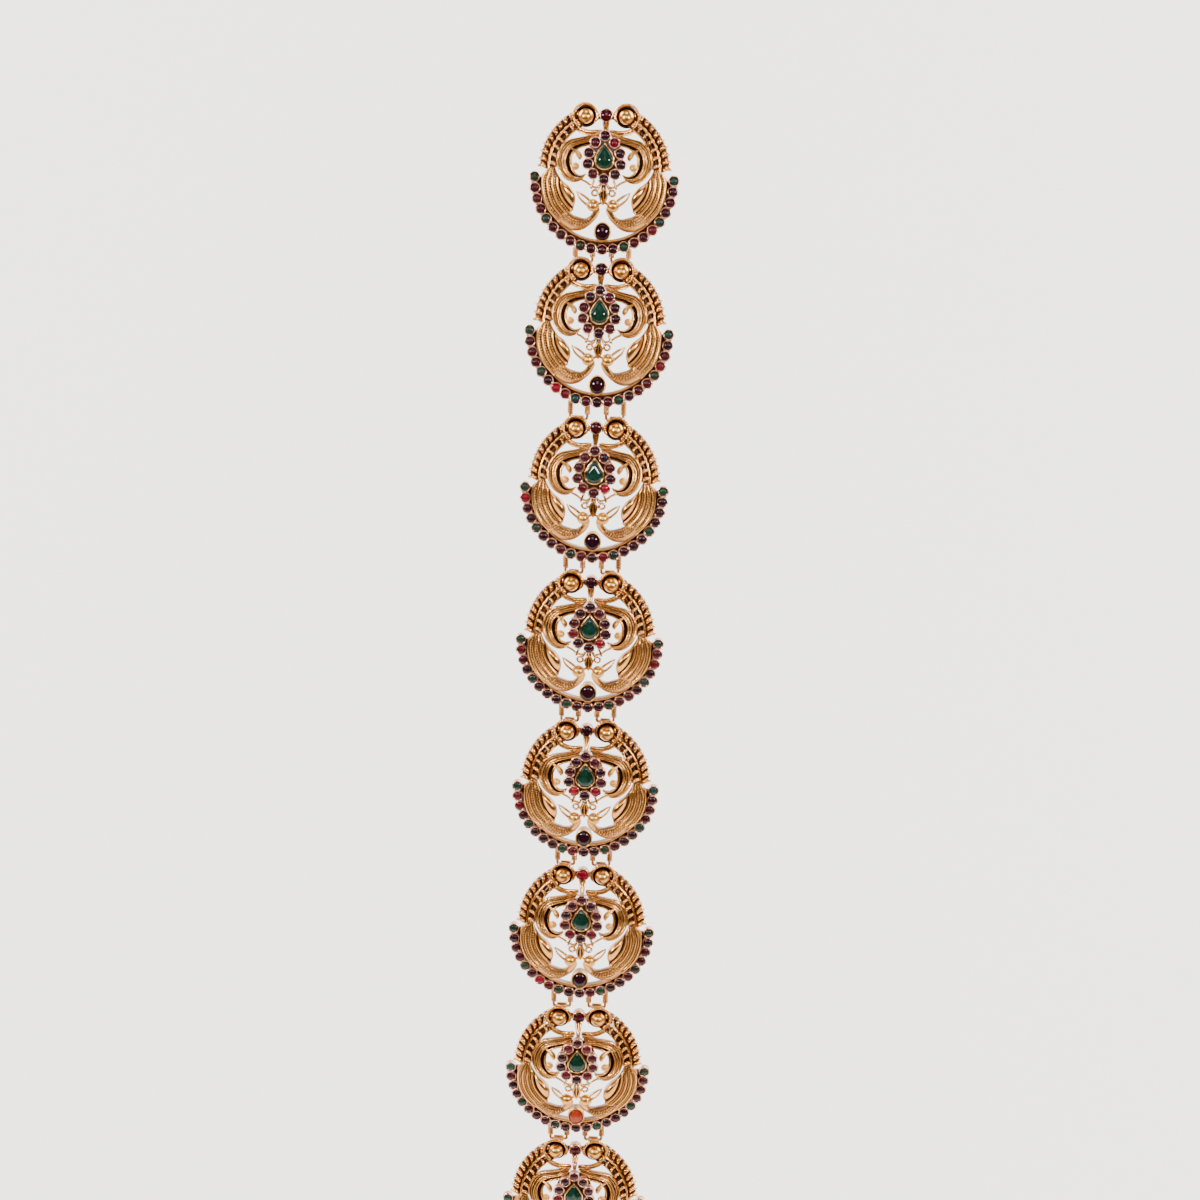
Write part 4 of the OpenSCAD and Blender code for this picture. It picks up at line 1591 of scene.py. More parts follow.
@dataclass
class Centre(Piece):
    """What hangs on the middle line: stem, leaf, rings and prongs, the oval bezel and the top collet."""

    def build(self) -> None:
        """Casts the middle pieces."""
        self.stem()
        self.leaf()
        self.cluster()
        self.oval()
        self.top()

    def strip(self, half: Sequence[tuple[float, float]], lift: float) -> None:
        """Casts a flat pointed strip on the dome.

        Args:
            half: Height and half width of its rows.
            lift: Height of its face over the dome.
        """
        s = self.sizes
        rows = smooth_path(half, 14)
        across = np.linspace(-1, 1, 5)
        top = np.array([s.on_dome(np.column_stack([w * across, np.full(5, y)]), lift) for y, w in rows])
        back = top.copy()
        back[:, :, 2] = s.dome(top[:, :, 0], top[:, :, 1]) - s.plate_t
        # The strip is dark all over, under its wires: tarnish and painted shade.
        self.casting.add(domed_plate(top, back, np.full(top.shape[:2], 0.9)))

    def stem(self) -> None:
        """Casts the narrow pointed stem of three ridges between the top collet and the flower."""
        s = self.sizes
        self.strip([(21.4, 1.25), (20.0, 1.15), (18.0, 0.85), (16.0, 0.6)], 0.1)
        ridges = []
        for side in (-1, 0, 1):
            line = [(0.98, 21.2), (0.9, 20.2), (0.55, 18.8), (0.16, 17.4), (0, 16.4)]
            flat = smooth_path([(x * side, y) for x, y in line], 18)
            ridges.append(tube(flat, 0.35, tapered(18, 0.34, 0.9, 0.6), s))
        self.bench.wire(self.casting, ridges, sides=8)

    def leaf(self) -> None:
        """Casts the pointed leaf under the flower: a rim wire round a ridge."""
        s = self.sizes
        blade = [(1.6, 0.9), (-1.5, 0.85), (-3.0, 0.95), (-5.0, 1.2), (-7.0, 0.8), (-8.4, 0.3)]
        self.strip(blade, 0.05)
        for side in (-1, 1):
            line = [(0, -2.4), (0.8, -3.4), (1.25, -4.9), (0.95, -6.6), (0, -8.6)]
            flat = smooth_path([(x * side, y) for x, y in line], 18)
            self.bench.wire(self.casting, [tube(flat, 0.45, tapered(18, 0.38, 0.6, 0.5), s)], sides=8)
        flat = smooth_path([(0, -1.8), (0, -4.5), (0, -8.2)], 12)
        self.bench.wire(self.casting, [tube(flat, 0.35, tapered(12, 0.28, 0.7, 0.4), s)], sides=8)

    def cluster(self) -> None:
        """Casts two rings and two prongs beside the leaf, on their small wires."""
        s = self.sizes
        rings, rods = [], []
        for side in (-1, 1):
            a = np.linspace(0, 2 * math.pi, 25)
            flat = np.column_stack([3.1 * side + 1.02 * np.cos(a), -4.3 + 1.02 * np.sin(a)])
            rings.append(tube(flat, 0.15, 0.42, s))
            for points in (
                [(0.7, -5.0), (1.4, -4.8), (2.2, -4.6)], [(1.4, -1.6), (2.6, -2.4), (4.6, -1.8)],
                [(4.6, -1.8), (6.2, -0.6), (8.4, 0.4)], [(0.0, -7.6), (0.9, -7.9), (1.9, -8.5)],
                [(3.4, 0.4), (4.1, -1.3), (4.6, -2.9)], [(1.2, -0.9), (1.6, -2.2), (2.4, -3.3)],
            ):
                flat = smooth_path([(x * side, y) for x, y in points], 8)
                rods.append(tube(flat, 0.1, tapered(8, 0.44, 0.8, 0.8), s))
        self.bench.wire(self.casting, rings, sides=8)
        self.bench.wire(self.casting, rods, sides=8)

    def oval(self) -> None:
        """Casts the oval bezel on its pillar."""
        s = self.sizes
        w, z = s.bezel_wall, s.oval_h
        # The lip is bright, the foot and the inner side dark: tarnish and painted shade.
        profile = [
            (0.3, 0.0, 0.8), (0.2, 0.2, 0.8), (0.12, 2.0, 0.8), (0.0, z - 0.9, 0.5),
            (0.0, z - 0.2, 0.05), (w * 0.2, z - 0.02, 0.0), (w * 0.5, z + 0.04, 0.0),
            (w * 0.8, z - 0.03, 0.0), (w, z - 0.25, 0.1), (w + 0.08, z - 0.6, 0.7), (w + 0.1, z - 1.3, 1.0),
        ]
        bezel = turned(OvalOutline(s.oval_w, s.oval_l, 44), profile)
        self.casting.put(bezel, Metal.SATIN, at=(0, s.oval_y, 0))

    def top(self) -> None:
        """Casts the collet of the top stone, on its bridge between the cups."""
        s = self.sizes
        top = Collets(
            s, self.bench, self.casting, s.top_collet_r, -s.flange_t, s.top_collet_h, 1.05, wall=0.50, seed=4
        )
        top.build(s.top_at)
        x, y = s.cup_at
        bridge = np.array([[(-x, y - 1, -0.05), (x, y - 1, -0.05)], [(-x, y + 1, -0.05), (x, y + 1, -0.05)]])
        back = bridge - [0, 0, s.flange_t - 0.08]
        # Dark all over under the top collet: tarnish and painted shade.
        self.casting.put(domed_plate(bridge, back, np.full((2, 2), 0.8)), dark=0.8)


@dataclass
class Hinges(Piece):
    """Knuckle tubes behind the cups, and the staple loops that hang the next plate.

    Attributes:
        root_z: Depth at which the loops' legs are soldered to the flange.
        root_in: How far they reach in from the flange's middle.
        turns: Turns of the wire wound on each leg.
        wound_r: Radius of that wire.
    """

    root_z: float = -0.75
    root_in: float = 1.2
    turns: int = 7
    wound_r: float = 0.36

    def foot(self, x: float) -> float:
        """Height of the soldered end of a leg at x."""
        return -math.sqrt(self.sizes.ring_r**2 - x * x) + self.root_in

    def knuckles(self) -> None:
        """Casts the two knuckle tubes on their lugs."""
        s = self.sizes
        half, n = s.knuckle_l / 2, 22
        profile = [(s.bore_r, -half + 0.08), (s.knuckle_r - 0.1, -half), (s.knuckle_r, -half + 0.12),
                   (s.knuckle_r, half - 0.12), (s.knuckle_r - 0.1, half), (s.bore_r, half - 0.08)]
        for side in (-1, 1):
            at = np.array([side * s.hinge_x, s.hinge_y, -s.hinge_back])
            turns = np.linspace(0, 2 * math.pi, n, endpoint=False)
            rows = [[(x, r * math.cos(a), r * math.sin(a)) for r, x in profile] for a in turns]
            rows.append(rows[0])
            points = np.array(rows).reshape(-1, 3)
            faces = grid_faces(n + 1, len(profile), loop=True)
            self.casting.put((points, faces, points[:, 0]), dark=0.35, at=at)
            x, z, low, high = half * 0.9, s.hinge_back - 0.4, -s.knuckle_r * 0.85, -s.knuckle_r * 0.25
            lug = np.array([[(-x, y, z), (x, y, z)] for y in (low, high)]) + at
            self.casting.put(domed_plate(lug, lug - [0, 0, z - 0.95], np.full((2, 2), 0.6)), dark=0.6)

    def staples(self, k: int) -> None:
        """Casts the loops under a plate, each bent from one wire.

        Args:
            k: Number of the plate, 0 at the top.
        """
        s = self.sizes
        low, loops = -s.hang(k + 1), []
        for side in (-1, 1):
            x = side * s.hinge_x
            a, b = x - s.loop_w / 2, x + s.loop_w / 2
            z = -s.hinge_back
            turn = [(a, low + 0.75), (a + 0.06, low + 0.32), (a + 0.28, low + 0.07), (a + 0.62, low)]
            way = [(a, self.foot(a), self.root_z)]
            way += [(p, q, z + (0.0 if i else 0.08)) for i, (p, q) in enumerate(turn)]
            way += [(x, low, z)]
            way += [(a + b - p, q, z + (0.0 if i else 0.08)) for i, (p, q) in list(enumerate(turn))[::-1]]
            way += [(b, self.foot(b), self.root_z)]
            loops.append(np.column_stack([np.array(way), np.full(len(way), s.pin_r)]))
        mesh = self.bench.wires.bake(self.bench.lines(loops), Sides=12, Material=self.bench.finishes[0])
        self.bench.pour(self.casting, mesh, Metal.ANTIQUE, 0.25)
        legs = [side * (s.hinge_x + end * s.loop_w / 2) for side in (-1, 1) for end in (-1, 1)]
        self.bench.wire(self.casting, [self.coil(x, low) for x in legs], sides=6)

    def coil(self, x: float, low: float) -> np.ndarray:
        """A thin wire wound on the leg of a loop.

        Args:
            x: Place of the leg.
            low: Height of the loop's bar.

        Returns:
            Rows of x, y, z and radius.
        """
        s, foot = self.sizes, self.foot(x)
        t = np.linspace(0, 1, self.turns * 9 + 1)
        first, last = foot - 3.0, low + 1.9
        y = first + (last - first) * t
        sink = np.clip((foot - y) / (foot + self.root_z - low), 0, 1)
        z = self.root_z - (s.hinge_back + self.root_z) * sink
        a = 2 * math.pi * self.turns * t
        r = s.pin_r + self.wound_r * 0.7
        return np.column_stack([x + r * np.cos(a), y, z + r * np.sin(a), np.full(len(t), self.wound_r)])


# ---- Finishes ---------------------------------------------------------------------------------


@dataclass
class Recipe:
    """A material in the making: its nodes, and what feeds their sockets."""

    name: str
    material: bpy.types.Material = field(init=False)
    shader: bpy.types.Node = field(init=False)
    place: bpy.types.NodeSocket = field(init=False)

    def __post_init__(self) -> None:
        """Makes the material, with a plain shader and the place on the object."""
        self.material = bpy.data.materials.new(self.name)
        self.material.use_nodes = True
        self.shader = self.material.node_tree.nodes["Principled BSDF"]
        self.place = self.node("ShaderNodeTexCoord").outputs["Object"]

    def feed(self, socket: bpy.types.NodeSocket, value: object) -> None:
        """Sets a socket, or links it.

        Args:
            socket: The input.
            value: A number, a colour, or the output that feeds it.
        """
        if isinstance(value, bpy.types.NodeSocket):
            self.material.node_tree.links.new(value, socket)
        elif isinstance(value, tuple):
            socket.default_value = (*value, 1)
        else:
            socket.default_value = value

    def node(self, kind: str, inputs: dict[str | int, object] | None = None, **settings: object
             ) -> bpy.types.Node:
        """Adds a node.

        Args:
            kind: Its type.
            inputs: What feeds its inputs, by name or number.
            **settings: Its properties by name.

        Returns:
            The node.
        """
        node = self.material.node_tree.nodes.new(kind)
        for key, value in settings.items():
            setattr(node, key, value)
        for key, value in (inputs or {}).items():
            self.feed(node.inputs[key], value)
        return node

    def noise(self, scale: float, detail: float) -> bpy.types.NodeSocket:
        """Adds a noise over the object.

        Args:
            scale: Its fineness.
            detail: Number of its finer layers.

        Returns:
            Its value.
        """
        inputs = {"Vector": self.place, "Scale": scale, "Detail": detail}
        return self.node("ShaderNodeTexNoise", inputs).outputs["Fac"]

    def named(self, label: str, output: str = "Fac") -> bpy.types.NodeSocket:
        """Reads an attribute of the mesh, as the output named."""
        return self.node("ShaderNodeAttribute", attribute_name=label).outputs[output]

    def mix(self, share: bpy.types.NodeSocket, first: object, second: object, way: str = "MIX"
            ) -> bpy.types.NodeSocket:
        """Mixes two colours.

        Args:
            share: How much of the second there is.
            first: A colour, or the output that gives it.
            second: The other.
            way: How they are mixed.

        Returns:
            The mixed colour.
        """
        node = self.node("ShaderNodeMix", {"Factor": share}, data_type="RGBA", blend_type=way)
        for socket, value in zip([i for i in node.inputs if i.type == "RGBA"], (first, second)):
            self.feed(socket, value)
        return next(o for o in node.outputs if o.type == "RGBA")

    def dress(self, **inputs: object) -> bpy.types.Material:
        """Feeds the shader.

        Args:
            **inputs: What feeds its inputs by name, with _ for a space.

        Returns:
            The finished material.
        """
        for key, value in inputs.items():
            self.feed(self.shader.inputs[key.replace("_", " ")], value)
        return self.material


@dataclass(frozen=True)
class Gold:
    """Cast gold, dark in its hollows and down its flanks: tarnish and painted shade.

    Attributes:
        name: Name of the material.
        bright: Colour of the polished crests.
        middle: Colour of the flanks.
        deep: Colour of the hollows.
        rough: Roughness of the crests.
        grain: Strength of the cast skin's unevenness.
        dull: Roughness of the hollows.
        cloud: How much the darkness drifts.
        cloud_scale: Fineness of that drift.
        skin_scale: Fineness of the cast skin.
        stops: Darkness at each colour of the ramp.
        darkest: Darkness at which the ramp ends.
        coat: Weight of the glossy coat.
        coat_rough: Its roughness.
    """

    name: str
    bright: Triple
    middle: Triple
    deep: Triple
    rough: float
    grain: float
    dull: float = 0.5
    cloud: float = 0.42
    cloud_scale: float = 420.0
    skin_scale: float = 2600.0
    stops: tuple[float, ...] = (0.16, 0.46, 0.86, 1.12)
    darkest: float = 1.25
    coat: float = 0.3
    coat_rough: float = 0.08

    def material(self) -> bpy.types.Material:
        """Makes the material.

        Returns:
            The material.
        """
        recipe = Recipe(self.name)
        terms = {0: recipe.noise(self.cloud_scale, 5.0), 1: self.cloud, 2: recipe.named("tarnish_and_shade")}
        dark = recipe.node("ShaderNodeMath", terms, operation="MULTIPLY_ADD").outputs[0]
        share = recipe.node("ShaderNodeMath", {0: dark, 1: 1 / self.darkest}, operation="MULTIPLY")
        shade = recipe.node("ShaderNodeValToRGB", {"Fac": share.outputs[0]})
        shade.color_ramp.interpolation = "B_SPLINE"
        shadow = tuple((a + b) / 2 for a, b in zip(self.middle, self.deep))
        ramp = shade.color_ramp.elements
        while len(ramp) < len(self.stops):
            ramp.new(0.5)
        for e, at, colour in zip(ramp, self.stops, (self.bright, self.middle, shadow, self.deep)):
            e.position = at / self.darkest
            e.color = (*colour, 1)
        rough = recipe.node("ShaderNodeMapRange", {
            "Value": dark, "From Min": 0.2, "From Max": 1.2, "To Min": self.rough, "To Max": self.dull,
        })
        skin = recipe.node("ShaderNodeBump", {
            "Height": recipe.noise(self.skin_scale, 3.0), "Strength": self.grain, "Distance": 0.08 * MM,
        })
        return recipe.dress(
            Base_Color=shade.outputs["Color"], Roughness=rough.outputs["Result"],
            Normal=skin.outputs["Normal"], Metallic=1.0, Coat_Weight=self.coat,
            Coat_Roughness=self.coat_rough,
        )


@dataclass(frozen=True)
class Stone:
    """A glossy cabochon, with painted shade towards its girdle, so that it looks brighter inside.

    Attributes:
        name: Name of the material.
        colour: Its colour, or None where each stone has its own.
        second: A colour that drifts through it.
        rough: Roughness of the polish.
        dim: What is left of the colour at the girdle, under the painted shade.
        cloud_scale: Fineness of the drift of the second colour.
        ior: Index of refraction.
    """

    name: str
    colour: Triple | None
    second: Triple
    rough: float = 0.06
    dim: Triple = (0.40, 0.36, 0.40)
    cloud_scale: float = 520.0
    ior: float = 1.42

    def material(self) -> bpy.types.Material:
        """Makes the material.

        Returns:
            The material.
        """
        recipe = Recipe(self.name)
        drift = recipe.node("ShaderNodeMapRange", {
            "Value": recipe.noise(self.cloud_scale, 3.0), "From Min": 0.42, "From Max": 0.72, "To Max": 0.55,
        })
        first = self.colour or recipe.named("tint", "Color")
        body = recipe.mix(drift.outputs["Result"], first, self.second)
        shade = recipe.mix(recipe.named("tarnish_and_shade"), body, self.dim, "MULTIPLY")
        return recipe.dress(Base_Color=shade, Roughness=self.rough, IOR=self.ior)


GOLDS = (
    Gold("antique_gold", (0.94, 0.43, 0.105), (0.46, 0.180, 0.045), (0.036, 0.0110, 0.0040), 0.24, 0.14),
    Gold("satin_gold", (0.94, 0.44, 0.095), (0.54, 0.215, 0.045), (0.08, 0.024, 0.0065), 0.29, 0.08),
    Gold("bright_gold", (1.0, 0.60, 0.20), (0.80, 0.38, 0.085), (0.06, 0.020, 0.005), 0.17, 0.08),
    Gold("rose_gold", (1.0, 0.48, 0.275), (0.56, 0.205, 0.115), (0.035, 0.0110, 0.0060), 0.24, 0.10),
)
STONES = {
    "round": Stone("round_stones", None, (0.045, 0.0025, 0.0055)),
    "green": Stone("pear_green", (0.0040, 0.022, 0.0095), (0.010, 0.058, 0.044)),
    "purple": Stone("oval_purple", (0.016, 0.0018, 0.0052), (0.038, 0.0030, 0.0075)),
    "carnelian": Stone("oval_orange", (0.36, 0.035, 0.010), (0.20, 0.014, 0.010)),
}


# ---- Stones -----------------------------------------------------------------------------------


@dataclass
class Cabochons:
    """The stones of a medallion, drawn once and tinted for each plate.

    Attributes:
        sizes: The ornament's sizes.
        crown: Height of a round stone over its girdle.
        tilt: How far a stone may lean in its collet, in radians.
    """

    sizes: Sizes
    crown: float = 0.75
    tilt: float = 0.03

    def dome_of(self, outline: Outline, reach: float, foot: float, girdle: float, crown: float, rings: int = 7
                ) -> Body:
        """A cabochon over any outline.

        Args:
            outline: From an inset to the outline's points.
            reach: Inset at which the outline has shrunk to its middle.
            foot: Height of its foot.
            girdle: Height of its straight side.
            crown: Height of its dome over the girdle.
            rings: Number of rings of the dome.

        Returns:
            Vertices, faces and darkness, which is 1 at the girdle: painted shade that fades towards the top.
        """
        profile = [(0.12, foot, 1.0), (0.0, foot + 0.12, 1.0), (0.0, girdle, 0.95)]
        for i in range(1, rings + 1):
            a = math.pi / 2 * i / (rings + 0.35)
            fade = 0.85 * (1 - i / rings) ** 1.3
            profile.append((reach * (1 - math.cos(a)), girdle + crown * math.sin(a), fade))
        points, faces, dark = turned(outline, profile)
        top = len(points) - 1
        points[top, 2] = girdle + crown
        return points, faces, dark

    def round_stone(self, radius: float, foot: float, girdle: float) -> Body:
        """A round cabochon."""
        return self.dome_of(RoundOutline(radius, 18), radius * 0.97, foot, girdle, self.crown, 4)

    def row(self, bench: Bench, at: np.ndarray, foot: float, girdle: float, radius: float, seed: int
            ) -> tuple[np.ndarray, Faces, np.ndarray, int]:
        """Equal round stones on their seats, each turned and tilted a little.

        Args:
            bench: The workbench.
            at: Their places, one row each.
            foot: Height of their feet.
            girdle: Height of their straight sides.
            radius: Their radius.
            seed: Seed of their turns.

        Returns:
            Vertices, faces, darkness and the number of vertices of one stone.
        """
        rng = random.Random(seed)
        points, faces, dark = self.round_stone(radius, foot, girdle)
        tilt = self.tilt
        turn = [(rng.uniform(-tilt, tilt), rng.uniform(-tilt, tilt), rng.uniform(0, 6.28)) for _ in at]
        size = np.array([(1.0, 1.0, rng.uniform(0.95, 1.0)) for _ in at])
        placed = unpacked(bench.seat((points, faces), at, np.array(turn), size, bench.finishes[0]))
        return *placed, np.tile(dark, len(at)), len(points)

    def tinted(self, name: str, body: tuple[np.ndarray, Faces, np.ndarray, int], material: bpy.types.Material,
               colours: Sequence[Triple]) -> bpy.types.Mesh:
        """Makes one mesh of a row of stones, each in its own colour.

        Args:
            name: Name of the mesh.
            body: Vertices, faces, darkness and the number of vertices of one stone.
            material: Their finish.
            colours: A colour for each stone.

        Returns:
            The mesh.
        """
        points, faces, dark, each = body
        casting = Casting()
        casting.add((points, faces, dark))
        mesh = casting.mesh(name, [material])
        tint = mesh.attributes.new("tint", "FLOAT_COLOR", "POINT")
        rows = np.repeat(np.column_stack([np.array(colours), np.ones(len(colours))]), each, axis=0)
        tint.data.foreach_set("color", rows.astype(np.float32).ravel())
        return mesh


def shaded(colour: Triple, rng: random.Random) -> Triple:
    """A colour a little lighter or darker than the one given.

    Args:
        colour: The colour.
        rng: The source of the change.

    Returns:
        The new colour.
    """
    f = rng.uniform(0.75, 1.3)
    return (colour[0] * f, colour[1] * f * rng.uniform(0.9, 1.1), colour[2] * f * rng.uniform(0.85, 1.15))


# ---- The ornament -----------------------------------------------------------------------------


def gem_row(row: str, count: int, k: int) -> list[Triple]:
    """Colours of a row of round stones: every fourth edge stone is green, a few others are bright red.

    Args:
        row: Name of the row.
        count: Number of its stones.
        k: Number of the plate, 0 at the top.

    Returns:
        A colour for each stone.
    """
    rng = random.Random(f"{row} {k}")
    colours = []
    for i in range(count):
        if (row, i) in SCARLETS.get(k, ()):
            gem = Gem.SCARLET
        elif (row, i) in RUBIES.get(k, ()):
            gem = Gem.RUBY
        elif row == "edge" and i % 4 == 0:
            gem = rng.choice((Gem.GREEN, Gem.GREEN, Gem.SEA))
        else:
            gem = rng.choice((Gem.WINE, Gem.PLUM))
        colours.append(shaded(gem.value, rng))
    return colours


@dataclass
class Ornament:
    """All eight plates, built from one set of patterns; one plate's oval stone is a carnelian."""

    sizes: Sizes
    carnelian_plate: int = 6
    finishes: list[bpy.types.Material] = field(default_factory=list)
    stones: dict[str, bpy.types.Material] = field(default_factory=dict)

    def finish_all(self) -> None:
        """Makes the finishes."""
        self.finishes = [gold.material() for gold in GOLDS]
        self.stones = {label: stone.material() for label, stone in STONES.items()}

    def setting(self, bench: Bench) -> Casting:
        """Casts the metal of a medallion without its hinges.

        Args:
            bench: The workbench.

        Returns:
            The casting.
        """
        s = self.sizes
        whole, left = Casting(), Casting()
        EdgeRing(s, bench, whole).build()
        Collets(s, bench, whole, s.collet_r, -s.flange_t + 0.01, s.collet_h, 0.12).build(s.edge_places)
        LOG.info("edge ring and collets: %d points", whole.total)
        for kind in (UpperBand, Plume, Bird, ScrollCup):
            kind(s, bench, left).build()
            LOG.info("%s: %d points", kind.__name__, left.total)
        whole.take(left)
        whole.take(left, mirror=True)
        for kind in (Flower, Centre):
            kind(s, bench, whole).build()
            LOG.info("%s: %d points", kind.__name__, whole.total)
        return whole

    def show(self, mesh: bpy.types.Mesh, name: str, k: int, slot: str, *nodes: str) -> None:
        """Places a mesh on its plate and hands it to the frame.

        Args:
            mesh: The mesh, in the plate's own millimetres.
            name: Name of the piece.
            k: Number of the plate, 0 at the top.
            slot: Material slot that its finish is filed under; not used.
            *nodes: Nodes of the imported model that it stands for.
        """
        mesh.transform(self.sizes.place(k))
        mesh.validate()
        mesh.update()
        piece = bpy.data.objects.new(name, mesh)
        bpy.context.scene.collection.objects.link(piece)
        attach(piece, f"plate_{k + 1}")
        if nodes:
            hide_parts(*nodes)
        LOG.info("%s: %d faces", name, len(mesh.polygons))

    def metal(self, bench: Bench, pattern: Casting, k: int) -> None:
        """Shows the setting of a plate with its hinges.

        Args:
            bench: The workbench.
            pattern: The setting without hinges.
            k: Number of the plate, 0 at the top.
        """
        whole, name = Casting(), f"setting_{k + 1}"
        whole.take(pattern)
        hinges = Hinges(self.sizes, bench, whole)
        if k > 0:
            hinges.knuckles()
        if k < len(self.sizes.drape) - 1:
            hinges.staples(k)
        self.show(whole.mesh(name, self.finishes), name, k, "antique_gold", f"medallion_{k + 1}")

    def gems(self, k: int, rows: dict[str, tuple]) -> None:
        """Shows the stones of a plate.

        Args:
            k: Number of the plate, 0 at the top.
            rows: The stones of one medallion, before they are tinted.
        """
        stones, number = Cabochons(self.sizes), k + 1
        for row, name, nodes in (
            ("edge", "edge_gems", (f"edge_stones_{number}",)), ("flower", "flower_gems", ()),
            ("top", "top_gem", (f"top_stone_{number}",)),
        ):
            points, _, _, each = rows[row]
            colours = gem_row(row, len(points) // each, k)
            mesh = stones.tinted(name, rows[row], self.stones["round"], colours)
            self.show(mesh, f"{name}_{number}", k, "ruby", *nodes)
        oval = "carnelian" if k == self.carnelian_plate else "purple"
        for label, finish, slot in (("pear", "green", "emerald"), ("oval", oval, "amethyst")):
            casting = Casting()
            casting.add(rows[label])
            mesh = casting.mesh(f"{label}_gem", [self.stones[finish]])
            self.show(mesh, f"{label}_gem_{number}", k, slot, f"{label}_stone_{number}")

    def stone_rows(self, bench: Bench) -> dict[str, tuple]:
        """Cuts the stones of one medallion in its own frame.

        Args:
            bench: The workbench.

        Returns:
            Each kind's vertices, faces, darkness and, for a row, the vertices of one stone.
        """
        s, stones = self.sizes, Cabochons(self.sizes)
        wall, gap, sunk = s.bezel_wall, 0.12, 0.35
        pear = stones.dome_of(
            PearOutline(s.pear_w - 2 * wall - 2 * gap, s.pear_l - 2.35 * wall - 0.28, 56),
            s.pear_w / 2 - wall - 0.14, s.flower_z + 0.15, s.flower_z + s.pear_h - sunk, 1.35, 9,
        )
        oval = stones.dome_of(
            OvalOutline(s.oval_w - 2 * wall - 2 * gap, s.oval_l - 2 * wall - 2 * gap, 40),
            s.oval_w / 2 - wall - 0.14, s.oval_h - 1.25, s.oval_h - sunk, 1.1, 7,
        )
        return {
            "edge": stones.row(bench, s.edge_places, 0.15, s.collet_h - 0.32, 1.56, 31),
            "flower": stones.row(bench, s.flower_places, 0.3, s.collet_h - 0.32, 1.56, 37),
            "top": stones.row(bench, s.top_at, 1.1, s.top_collet_h - 0.3, 1.98, 41),
            "pear": (pear[0] + [0, s.pear_y, 0], pear[1], pear[2]),
            "oval": (oval[0] + [0, s.oval_y, 0], oval[1], oval[2]),
        }

    def build(self) -> None:
        """Makes every piece and puts it on its plate."""
        self.finish_all()
        bench = Bench(self.sizes, self.finishes)
        pattern = self.setting(bench)
        rows = self.stone_rows(bench)
        for k in range(len(self.sizes.drape)):
            self.metal(bench, pattern, k)
            self.gems(k, rows)
        hook = frame["nodes"]["hair_hook"]
        hook.data.materials.clear()
        hook.data.materials.append(self.finishes[0])
        LOG.info("hair hook dressed")


# ---- Studio -----------------------------------------------------------------------------------


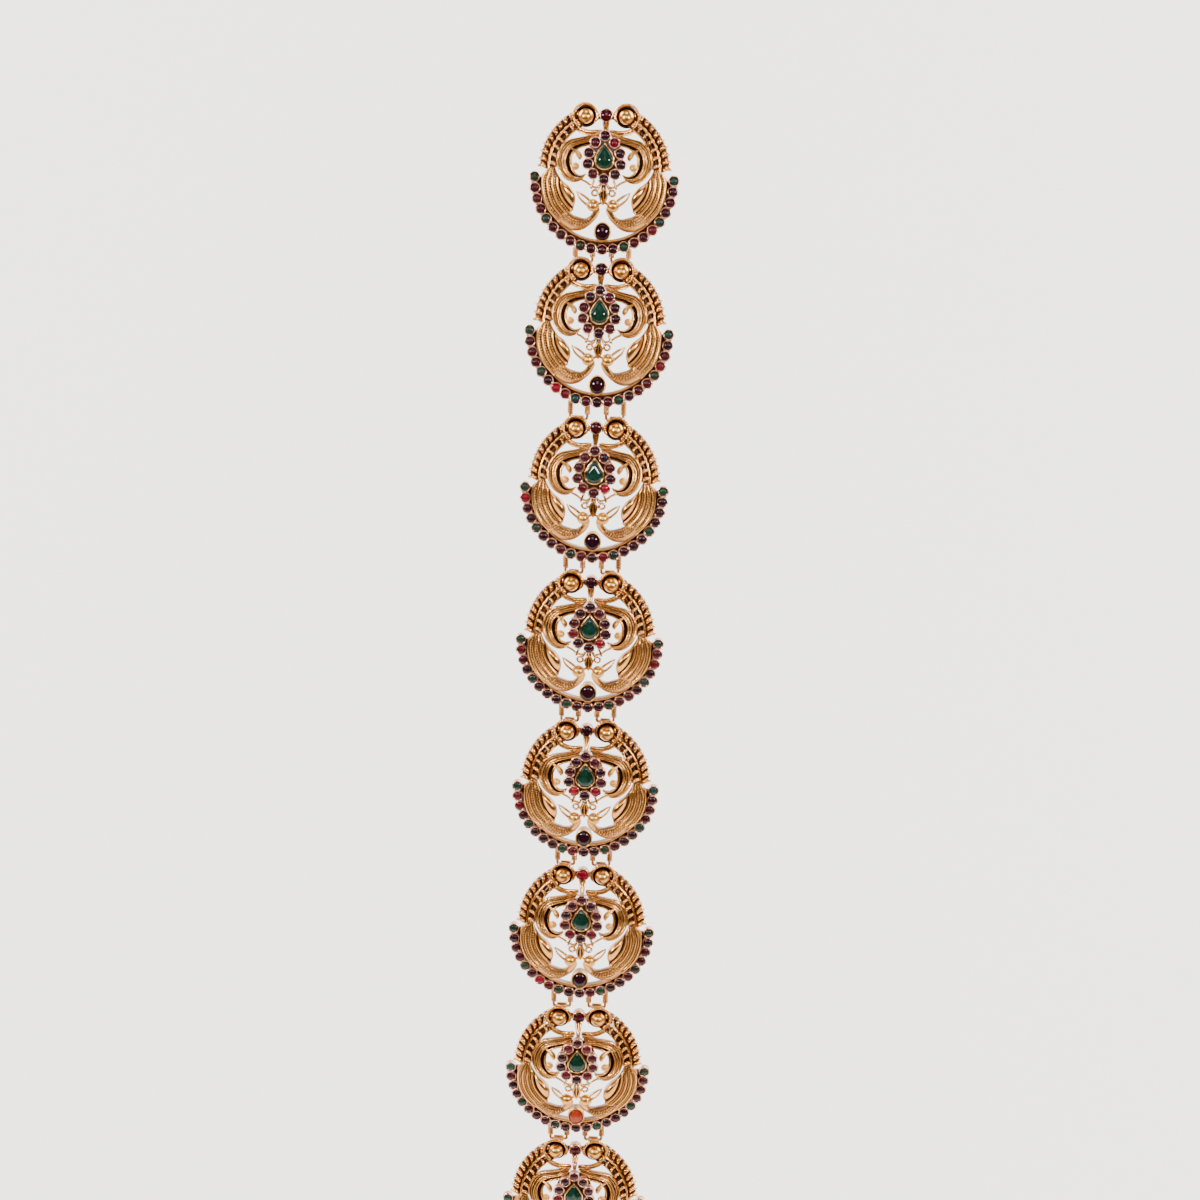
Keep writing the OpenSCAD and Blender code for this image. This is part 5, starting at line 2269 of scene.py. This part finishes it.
@dataclass
class Studio:
    """A plain pale floor and backdrop, soft lights, and the camera, in metres and degrees.

    Attributes:
        eye: Place of the camera.
        yaw: How far it turns to the side.
        pitch: How far it looks down.
        roll: How far it tilts.
        lens: Its focal length in millimetres.
        floor_z: Height of the floor.
        floor_y: Where it starts in front.
        floor_end: Where it ends, risen upright.
        bend: Radius of its bend.
        half_width: Half its width.
        pale: Its colour.
        sky: Colour of the world.
        sky_strength: Strength of the world.
    """

    eye: Triple = (0.04034, -2.14174, 0.11741)
    yaw: float = -0.989
    pitch: float = 7.744
    roll: float = 1.899
    lens: float = 178.58
    floor_z: float = -0.90
    floor_y: float = -0.45
    floor_end: float = 2.2
    bend: float = 1.2
    half_width: float = 6.0
    pale: Triple = (0.80, 0.785, 0.755)
    sky: Triple = (0.80, 0.82, 0.86)
    sky_strength: float = 0.07

    def camera(self) -> None:
        """The camera, where the photograph was taken from."""
        data = bpy.data.cameras.new("camera")
        data.lens = self.lens
        data.sensor_width = 36.0
        data.clip_start, data.clip_end = 0.05, 60.0
        camera = bpy.data.objects.new("camera", data)
        camera.location = self.eye
        look = Euler((math.radians(90 - self.pitch), 0, math.radians(-self.yaw)), "XYZ").to_matrix()
        camera.rotation_euler = (look @ Matrix.Rotation(math.radians(self.roll), 3, "Z")).to_euler()
        bpy.context.scene.collection.objects.link(camera)
        bpy.context.scene.camera = camera

    def backdrop(self) -> None:
        """A floor that sweeps up behind the ornament."""
        r, start = self.bend, self.floor_end - self.bend
        line = [(self.floor_y, self.floor_z), (start, self.floor_z)]
        line += [(start + r * math.sin(a), self.floor_z + r * (1 - math.cos(a)))
                 for a in np.linspace(0.1, math.pi / 2, 14)]
        line.append((self.floor_end, 5.0))
        points = [(x, y, z) for y, z in line for x in (-self.half_width, self.half_width)]
        faces = [(2 * i, 2 * i + 1, 2 * i + 3, 2 * i + 2) for i in range(len(line) - 1)]
        mesh = bpy.data.meshes.new("backdrop")
        mesh.from_pydata(points, [], faces)
        mesh.polygons.foreach_set("use_smooth", [True] * len(faces))
        m = bpy.data.materials.new("backdrop")
        m.use_nodes = True
        shader = m.node_tree.nodes["Principled BSDF"]
        shader.inputs["Base Color"].default_value = (*self.pale, 1)
        shader.inputs["Roughness"].default_value = 0.9
        mesh.materials.append(m)
        floor = bpy.data.objects.new("backdrop", mesh)
        bpy.context.scene.collection.objects.link(floor)

    def lamp(self, name: str, at: Sequence[float], size: float, power: float,
             aim: Sequence[float] = (0, 0, -0.22)) -> None:
        """Adds a square soft light.

        Args:
            name: Its name.
            at: Its place.
            size: Length of its side.
            power: Its power.
            aim: The point that it looks at.
        """
        data = bpy.data.lights.new(name, "AREA")
        data.size = size
        data.energy = power
        light = bpy.data.objects.new(name, data)
        light.location = at
        light.rotation_euler = (Vector(aim) - Vector(at)).to_track_quat("-Z", "Y").to_euler()
        bpy.context.scene.collection.objects.link(light)

    def build(self) -> None:
        """Makes the studio."""
        self.camera()
        self.backdrop()
        world = bpy.data.worlds.new("studio")
        world.use_nodes = True
        light = world.node_tree.nodes["Background"]
        light.inputs["Color"].default_value = (*self.sky, 1)
        light.inputs["Strength"].default_value = self.sky_strength
        bpy.context.scene.world = world
        self.lamp("left", (-1.15, -1.5, 0.05), 0.27, 34)
        self.lamp("right", (1.15, -1.5, 0.0), 0.27, 28)
        self.lamp("top", (0.0, -0.7, 1.7), 0.7, 15)
        self.lamp("front", (0.0, -2.7, 0.4), 1.0, 16)
        self.lamp("back", (0.7, 1.2, 1.2), 1.2, 20)
        for side in (-1, 1):
            self.lamp("sweep", (side * 1.7, 0.7, 0.9), 1.6, 140, (side * -0.4, 2.2, -0.1))


def main() -> None:
    """Builds the studio and the ornament."""
    logging.basicConfig(level=logging.INFO, format="%(name)s: %(message)s")
    Studio().build()
    LOG.info("studio built")
    Ornament(Sizes()).build()
    LOG.info("sizes written")


if __name__ == "__main__":
    main()
